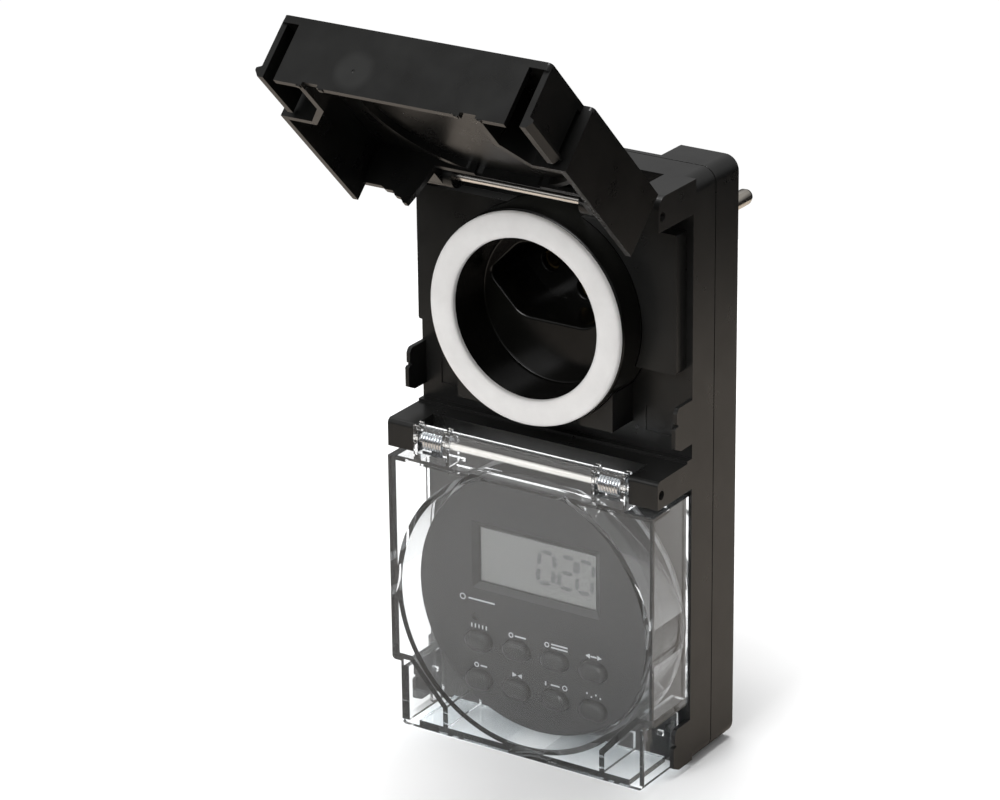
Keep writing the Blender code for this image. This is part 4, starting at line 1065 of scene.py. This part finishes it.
def make_cover():
    """Clear cover over the timer with an inner round wall."""
    cover = make_hood(COVER_PIVOT_Z, COVER_SIZES, COVER_NECK, COVER_KNUCKLE_RIM_Y, True)
    round_wall = ring_wall(ROUND_WALL_RADII, ROUND_WALL_RIM_Y, TIMER_Z, COVER_SIZES[2])
    start, stop = ROUND_WALL_SLOPE
    swing_room = [start, stop, (stop[0], HEIGHT), (WALL, HEIGHT), (WALL, start[1])]
    cut(round_wall, prism_x(swing_room, -HALF_WIDTH, HALF_WIDTH))
    unite(cover, round_wall)
    for side in (-1, 1):
        nub = sorted((side * 0.0300, side * 0.0320))
        unite(cover, box(nub, (-0.0060, -0.0052), (0.0092, 0.0104)))
    return bore_knuckles(cover, COVER_PIVOT_Z)


def make_rod(pivot_z):
    """Straight steel rod on a hinge axis."""
    return disc_x((PIVOT_Y, pivot_z), ROD_RADIUS, -ROD_HALF_LENGTH, ROD_HALF_LENGTH)


def make_spring(side):
    """Close-wound coil round the cover's hinge rod, as a finely swept wire."""
    wire, sides, steps = SPRING_WIRE_RADIUS, 12, 36
    first = KNUCKLE_INNER_X + CHEEK + wire + GAP
    last = KNUCKLE_OUTER_X - CHEEK - wire - GAP
    total = int(SPRING_TURNS * steps)
    sections = []
    for step in range(total + 1):
        angle = 2.0 * math.pi * step / steps
        along = first + (last - first) * step / total
        outward = Vector((0.0, math.cos(angle), math.sin(angle)))
        centre = Vector((side * along, PIVOT_Y, COVER_PIVOT_Z)) + SPRING_COIL_RADIUS * outward
        section = []
        for corner in range(sides):
            turn = 2.0 * math.pi * corner / sides
            offset = outward * math.cos(turn) + Vector((1.0, 0.0, 0.0)) * math.sin(turn)
            section.append(centre + wire * offset)
        sections.append(section)
    return loft(sections)


# ------------------------------------------------------------------ timer module

def capsule(centre, size, grow=0.0):
    """Stadium outline: a button's shape in X and Z."""
    half_width, radius = size[0] / 2 + grow, size[1] / 2 + grow
    inner = half_width - radius
    points = arc((centre[0] + inner, centre[1]), radius, -90, 90, 16)
    points += arc((centre[0] - inner, centre[1]), radius, 90, 270, 16)
    return points


def button_columns():
    """Middle lines of the four columns of buttons, from the left."""
    return [(index - 1.5) * BUTTON_PITCH for index in range(4)]


def button_places():
    """Centres (x, z) of the eight buttons, row by row."""
    return [(x, z) for z in BUTTON_ROWS_Z for x in button_columns()]


def window_frustum(front, middle, back, grow):
    """Rectangular funnel about the display, used for the bevelled window."""
    outlines = []
    for y, extra in ((front, grow), (middle, 0.0), (back, 0.0)):
        wide, tall = LCD_HALF_WIDTH + extra, LCD_HALF_HEIGHT + extra
        corners = [(-wide, -tall), (wide, -tall), (wide, tall), (-wide, tall)]
        outlines.append([(x, y, LCD_Z + z) for x, z in corners])
    return loft(outlines)


def make_face():
    """Round face with the bevelled window, eight button openings and the reset hole."""
    inside = FACE_Y + FACE_THICKNESS
    profile = [
        (0.0, inside),
        (0.0, FACE_Y),
        (FACE_RADIUS - 0.0009, FACE_Y),
        (FACE_RADIUS - 0.0003, FACE_Y + 0.0002),
        (FACE_RADIUS, FACE_Y + 0.0009),
        (FACE_RADIUS, 0.0023),
        (FACE_RADIUS + 0.0012, 0.0023),
        (FACE_RADIUS + 0.0012, 0.0031),
        (FACE_RADIUS - 0.0010, 0.0031),
        (FACE_RADIUS - 0.0010, inside),
    ]
    face = lathe(profile, (0, TIMER_Z))
    cut(face, box((-HALF_WIDTH, HALF_WIDTH), (FACE_THICKNESS, SEAM_Y), (-WALL, WALL + 2 * GAP)))
    cut(face, window_frustum(FACE_Y - 0.0025, FACE_Y + 0.0010, inside + WALL, 0.0050))
    for place in button_places():
        cut(face, prism_y(capsule(place, BUTTON_SIZE, 0.00015), FACE_Y - WALL, inside + WALL))
    cut(face, disc_y(RESET_CENTRE, 0.0010, FACE_Y - WALL, inside + WALL, 32))
    return face


def make_button(place):
    """Push button with a domed cap and a wider foot behind the face."""
    flange_depth = BUTTON_FLANGE_Y[1] - BUTTON_FRONT_Y
    steps = ((0.0, 0.0013), (0.0002, 0.0006), (0.0006, 0.0002), (0.0013, 0.0), (flange_depth, 0.0))
    outlines = []
    for depth, inset in steps:
        outline = capsule(place, BUTTON_SIZE, -inset)
        outlines.append([(x, BUTTON_FRONT_Y + depth, z) for x, z in outline])
    return unite(loft(outlines), prism_y(capsule(place, BUTTON_SIZE, 0.0005), *BUTTON_FLANGE_Y))


def segment_digit(x, z, lit):
    """Bars of one seven-segment digit; lit lists its segments a to g."""
    height = DIGIT_HEIGHT
    width, bar, half = height * 0.52, height * 0.13, height / 2
    inset, edge = bar * 0.35, bar / 2
    spots = {
        "a": ((bar, height), (width - bar, height), True),
        "d": ((bar, 0.0), (width - bar, 0.0), True),
        "g": ((bar, half), (width - bar, half), True),
        "b": ((width, half), (width, height), False),
        "c": ((width, 0.0), (width, half), False),
        "f": ((0.0, half), (0.0, height), False),
        "e": ((0.0, 0.0), (0.0, half), False),
    }
    parts = []
    for key in lit:
        (x0, z0), (x1, z1), level = spots[key]
        if level:
            points = [(x0, z0 - edge), (x1, z0 - edge), (x1 + edge, z0), (x1, z0 + edge), (x0, z0 + edge)]
            points += [(x0 - edge, z0)]
        else:
            low, high = z0 + inset, z1 - inset
            points = [(x0 - edge, low + edge), (x0, low), (x0 + edge, low + edge)]
            points += [(x0 + edge, high - edge), (x0, high), (x0 - edge, high - edge)]
        slanted = [(x + px + DIGIT_LEAN * pz, z + pz) for px, pz in points]
        parts.append(flat(slanted, LCD_FRONT_Y))
    return parts


def make_lcd_digits():
    """Clock digits and a colon on the display glass."""
    patterns = {"0": "abcdef", "1": "bc", "2": "abdeg"}
    parts = []
    base_z = LCD_Z - 0.0036
    for x, digit in ((-0.0045, "1"), (-0.0005, "0"), (0.0052, "2"), (0.0100, "0")):
        parts += segment_digit(x, base_z, patterns[digit])
    for z in (base_z + 0.0024, base_z + 0.0054):
        dot = circle((0.0042 + DIGIT_LEAN * (z - base_z), z), 0.0004, 12)
        parts.append(flat(dot, LCD_FRONT_Y))
    return joined(parts)


def flat(points, surface=FACE_Y):
    """Thin layer of ink just in front of a surface."""
    return prism_y(points, surface - INK_FRONT, surface - INK_BACK)


def bar_mark(x, z, width, height=0.00036):
    """Printed bar centred at x, z."""
    w, h = width / 2, height / 2
    return [flat([(x - w, z - h), (x + w, z - h), (x + w, z + h), (x - w, z + h)])]


def ring_mark(x, z, radius=0.00065, line=0.00024):
    """Printed ring."""
    front, back = FACE_Y - INK_FRONT, FACE_Y - INK_BACK
    profile = [(radius - line, front), (radius, front), (radius, back), (radius - line, back)]
    return [turned(profile, (x, z), 24)]


def arrow_mark(x, z, direction, size=0.0006):
    """Printed triangle pointing left or right."""
    reach = direction * size
    return [flat([(x - reach, z - size), (x - reach, z + size), (x + reach, z)])]


def make_prints():
    """Plain signs above the buttons, and a ring and bar under the display."""
    columns = button_columns()
    upper, lower = (z + 0.0036 for z in BUTTON_ROWS_Z)
    tall = 0.0010
    parts = []
    for step in range(5):
        parts += bar_mark(columns[0] - 0.0020 + 0.0010 * step, upper, 0.0003, tall)
    parts += ring_mark(columns[1] - 0.0016, upper)
    parts += bar_mark(columns[1] + 0.0010, upper, 0.0030)
    parts += ring_mark(columns[2] - 0.0022, upper)
    parts += bar_mark(columns[2] + 0.0012, upper + 0.0004, 0.0044)
    parts += bar_mark(columns[2] + 0.0012, upper - 0.0004, 0.0044)
    parts += arrow_mark(columns[3] - 0.0016, upper, -1)
    parts += bar_mark(columns[3], upper, 0.0016)
    parts += arrow_mark(columns[3] + 0.0016, upper, 1)
    parts += ring_mark(columns[0] - 0.0008, lower)
    parts += bar_mark(columns[0] + 0.0012, lower, 0.0018)
    parts += arrow_mark(columns[1] - 0.0007, lower, 1)
    parts += arrow_mark(columns[1] + 0.0007, lower, -1)
    parts += bar_mark(columns[2] - 0.0026, lower, 0.0004, tall)
    parts += bar_mark(columns[2], lower, 0.0024)
    parts += ring_mark(columns[2] + 0.0026, lower, 0.0007)
    for dx, dz in ((-0.0018, 0.0004), (-0.0006, -0.0003), (0.0006, 0.0004), (0.0018, -0.0002)):
        parts += bar_mark(columns[3] + dx, lower + dz, 0.0004, 0.0004)
    title = RESET_CENTRE[1] + 0.0044
    parts += ring_mark(RESET_CENTRE[0] - 0.0034, title, 0.0008)
    parts += bar_mark(RESET_CENTRE[0] + 0.0018, title, 0.0072)
    return joined(parts)


def make_screw(place):
    """Pan-head cross screw in its sink."""
    head_front = BACK_Y - SCREW_SINK_DEPTH + GAP
    profile = [(0.0, 0.0050), (0.0, head_front + 0.0016), (0.0016, head_front + 0.00155),
               (0.0024, head_front + 0.0012), (0.0028, head_front + 0.0006), (0.0028, head_front),
               (0.0013, head_front), (0.0013, 0.0050)]
    screw = lathe(profile, place, 40)
    x, z = place
    for wide, tall in ((0.0016, 0.00035), (0.00035, 0.0016)):
        cut(screw, box((x - wide, x + wide), (head_front + 0.0008, head_front + WALL), (z - tall, z + tall)))
    return screw


# ------------------------------------------------------------------ assembly

settle(make_front_shell(), "front_shell", SHELL_BLACK, "housing", ["front_housing"], 0.00025)
settle(make_rear_shell(), "rear_shell", SHELL_BLACK, "housing", ["rear_housing"], 0.00040)
settle(make_insert(), "well_insert", INSERT_BLACK, "housing", ["socket_insert"], 0.00020,
       outer_only=True)
settle(make_seal(), "white_seal", SEAL_WHITE, "housing", ["collar_seal"], clean=False)
settle(make_plug_body(), "plug_neck", SHELL_BLACK, "housing", ["plug_body"])
settle(make_plug_nose(), "pin_carrier", SHELL_BLACK, "housing", ["plug_nose"], 0.00025)
for label, place in zip(("neutral", "live", "earth"), pin_places(PLUG_Z)):
    settle(make_pin(place, label != "earth"), f"{label}_plug_pin", PIN_NICKEL, "housing",
           [f"{label}_pin"], clean=False)
ring = turned([(0.0186, 0.0178), (0.0206, 0.0178), (0.0203, 0.0192), (0.0195, 0.0196), (0.0189, 0.0194)],
              (0, NECK_Z), 96)
settle(ring, "neck_ring", GASKET_GREY, "housing", ["plug_seal"], clean=False)
for number, place in enumerate(SCREW_PLACES, start=1):
    settle(make_screw(place), f"shell_screw_{number}", ROD_STEEL, "housing",
           [f"housing_screw_{number}"])

pivot = Vector((0.0, PIVOT_Y, LID_PIVOT_Z))
swing = Matrix.Translation(pivot) @ Matrix.Rotation(-LID_OPEN_ANGLE, 4, "X") @ Matrix.Translation(-pivot)
gate = BASE + swing @ Vector((*GATE_CENTRE, LID_SIZES[4]))
add_gate_mark(LID_BLACK, gate, GATE_RADIUS)
settle(make_lid(), "black_lid", LID_BLACK, "lid", ["socket_lid"], 0.00022, transform=swing)
settle(make_rod(LID_PIVOT_Z), "upper_rod", ROD_STEEL, "housing", ["lid_hinge_rod"], 0.0001)
settle(make_cover(), "clear_hood", CLEAR, "cover", ["clear_cover"], 0.00018)
settle(make_rod(COVER_PIVOT_Z), "lower_rod", ROD_STEEL, "housing", ["cover_hinge_rod"], 0.0001)
for side, label in ((-1, "left"), (1, "right")):
    settle(make_spring(side), f"coil_{label}", SPRING_STEEL, "housing",
           [f"cover_spring_{label}"], clean=False)

settle(make_face(), "round_face", FACE_BLACK, "housing", ["timer_face"], 0.00012)
for number, place in enumerate(button_places(), start=1):
    settle(make_button(place), f"push_button_{number}", BUTTON_BLACK, f"button_{number}",
           [f"button_{number}"], clean=False)
plunger = disc_y(RESET_CENTRE, RESET_RADIUS, FACE_Y + 0.0006, BUTTON_FLANGE_Y[1], 24)
unite(plunger, disc_y(RESET_CENTRE, 2 * RESET_RADIUS, *BUTTON_FLANGE_Y, 24))
settle(plunger, "reset_plunger", BUTTON_BLACK, "reset", ["reset_button"], 0.0001)

glass = prism_y(rounded_rectangle(0.0180, 0.0355, 0.0525, 0.0006), LCD_FRONT_Y, -0.0033)
settle(glass, "display_glass", LCD_GREY, "housing", ["lcd_panel"], 0.0001)
settle(make_lcd_digits(), "display_digits", LCD_INK, "housing", [], clean=False)
settle(make_prints(), "button_signs", PRINT_GREY, "housing", [], clean=False)
pane_x, pane_z = LCD_HALF_WIDTH - GAP, LCD_HALF_HEIGHT - GAP
pane = prism_y(rounded_rectangle(pane_x, LCD_Z - pane_z, LCD_Z + pane_z, 0.0004), -0.0070, -0.0065)
settle(pane, "display_pane", CLEAR, "housing", ["lcd_window"], 0.0001)


# ------------------------------------------------------------------ stage, lights and camera

def add_stage():
    """Pale round table top under the object."""
    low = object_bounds()[0]
    bpy.ops.mesh.primitive_circle_add(vertices=128, radius=0.30, fill_type="NGON",
                                      location=(-0.02, -0.01, low.z - 0.0002))
    floor = bpy.context.object
    floor.name = "floor"
    material, tree, shader = new_material("floor_white")
    # the black plastics mirror a duller and warmer table than the one seen directly
    rays = tree.nodes.new("ShaderNodeLightPath").outputs
    in_gloss = computed(tree, "SUBTRACT", rays["Is Glossy Ray"], rays["Is Transmission Ray"], clamp=True)
    white = ramp(tree, noise(tree, 6.0), (0.92, 0.92, 0.92), (0.94, 0.94, 0.94))
    tree.links.new(toned(tree, in_gloss, white, (0.50, 0.44, 0.38)), shader.inputs["Base Color"])
    shader.inputs["Roughness"].default_value = 0.85
    shader.inputs["Specular IOR Level"].default_value = 0.1
    floor.data.materials.append(material)


def add_light(name, location, target, size, power):
    """Square soft box aimed at a point."""
    data = bpy.data.lights.new(name, "AREA")
    data.shape = "SQUARE"
    data.size = size
    data.energy = power
    light = bpy.data.objects.new(name, data)
    bpy.context.scene.collection.objects.link(light)
    light.location = location
    light.rotation_euler = (Vector(target) - Vector(location)).to_track_quat("-Z", "Y").to_euler()


def add_world(backdrop, sky, below):
    """White backdrop, with a dimmer room for what the surfaces reflect: brighter above, dark below."""
    world = bpy.data.worlds.new("studio")
    bpy.context.scene.world = world
    world.use_nodes = True
    tree = world.node_tree
    background = tree.nodes["Background"]
    coords = tree.nodes.new("ShaderNodeTexCoord")
    split = tree.nodes.new("ShaderNodeSeparateXYZ")
    tree.links.new(coords.outputs["Generated"], split.inputs["Vector"])
    room = spread(tree, split.outputs["Z"], below, sky, -0.05, 0.35)
    rays = tree.nodes.new("ShaderNodeLightPath").outputs
    seen = computed(tree, "MAXIMUM", rays["Is Camera Ray"], rays["Is Transmission Ray"])
    strength = tree.nodes.new("ShaderNodeMapRange")
    strength.inputs["To Max"].default_value = backdrop
    tree.links.new(seen, strength.inputs["Value"])
    tree.links.new(room, strength.inputs["To Min"])
    tree.links.new(strength.outputs["Result"], background.inputs["Strength"])
    background.inputs["Color"].default_value = (1.0, 1.0, 1.0, 1.0)


def add_camera():
    """Long-lens camera above and to the right of the front."""
    yaw, pitch, roll = math.radians(33.447), math.radians(21.880), math.radians(-0.651)
    target = BASE + Vector((-0.02614, 0.01709, 0.07137))
    distance = 0.95195
    back = Vector((math.sin(yaw) * math.cos(pitch), -math.cos(yaw) * math.cos(pitch), math.sin(pitch)))
    right = Vector((math.cos(yaw), math.sin(yaw), 0.0))
    up = back.cross(right)
    across = math.cos(roll) * right + math.sin(roll) * up
    above = math.cos(roll) * up - math.sin(roll) * right
    data = bpy.data.cameras.new("camera")
    data.sensor_width = 36.0
    data.lens = 146.90
    data.clip_start, data.clip_end = 0.05, 20.0
    camera = bpy.data.objects.new("camera", data)
    bpy.context.scene.collection.objects.link(camera)
    rotation = Matrix((across, above, back)).transposed().to_4x4()
    camera.matrix_world = Matrix.Translation(target + back * distance) @ rotation
    bpy.context.scene.camera = camera


add_stage()
add_world(1.02, 0.42, 0.02)
aim = (0.0, -0.05, -0.04)
add_light("top_soft_box", (-0.12, 0.02, 1.25), aim, 0.7, 19.0)
add_light("front_soft_box", (-0.15, -1.25, 0.70), aim, 0.6, 10.0)
add_camera()
bpy.context.scene.view_settings.view_transform = "Standard"
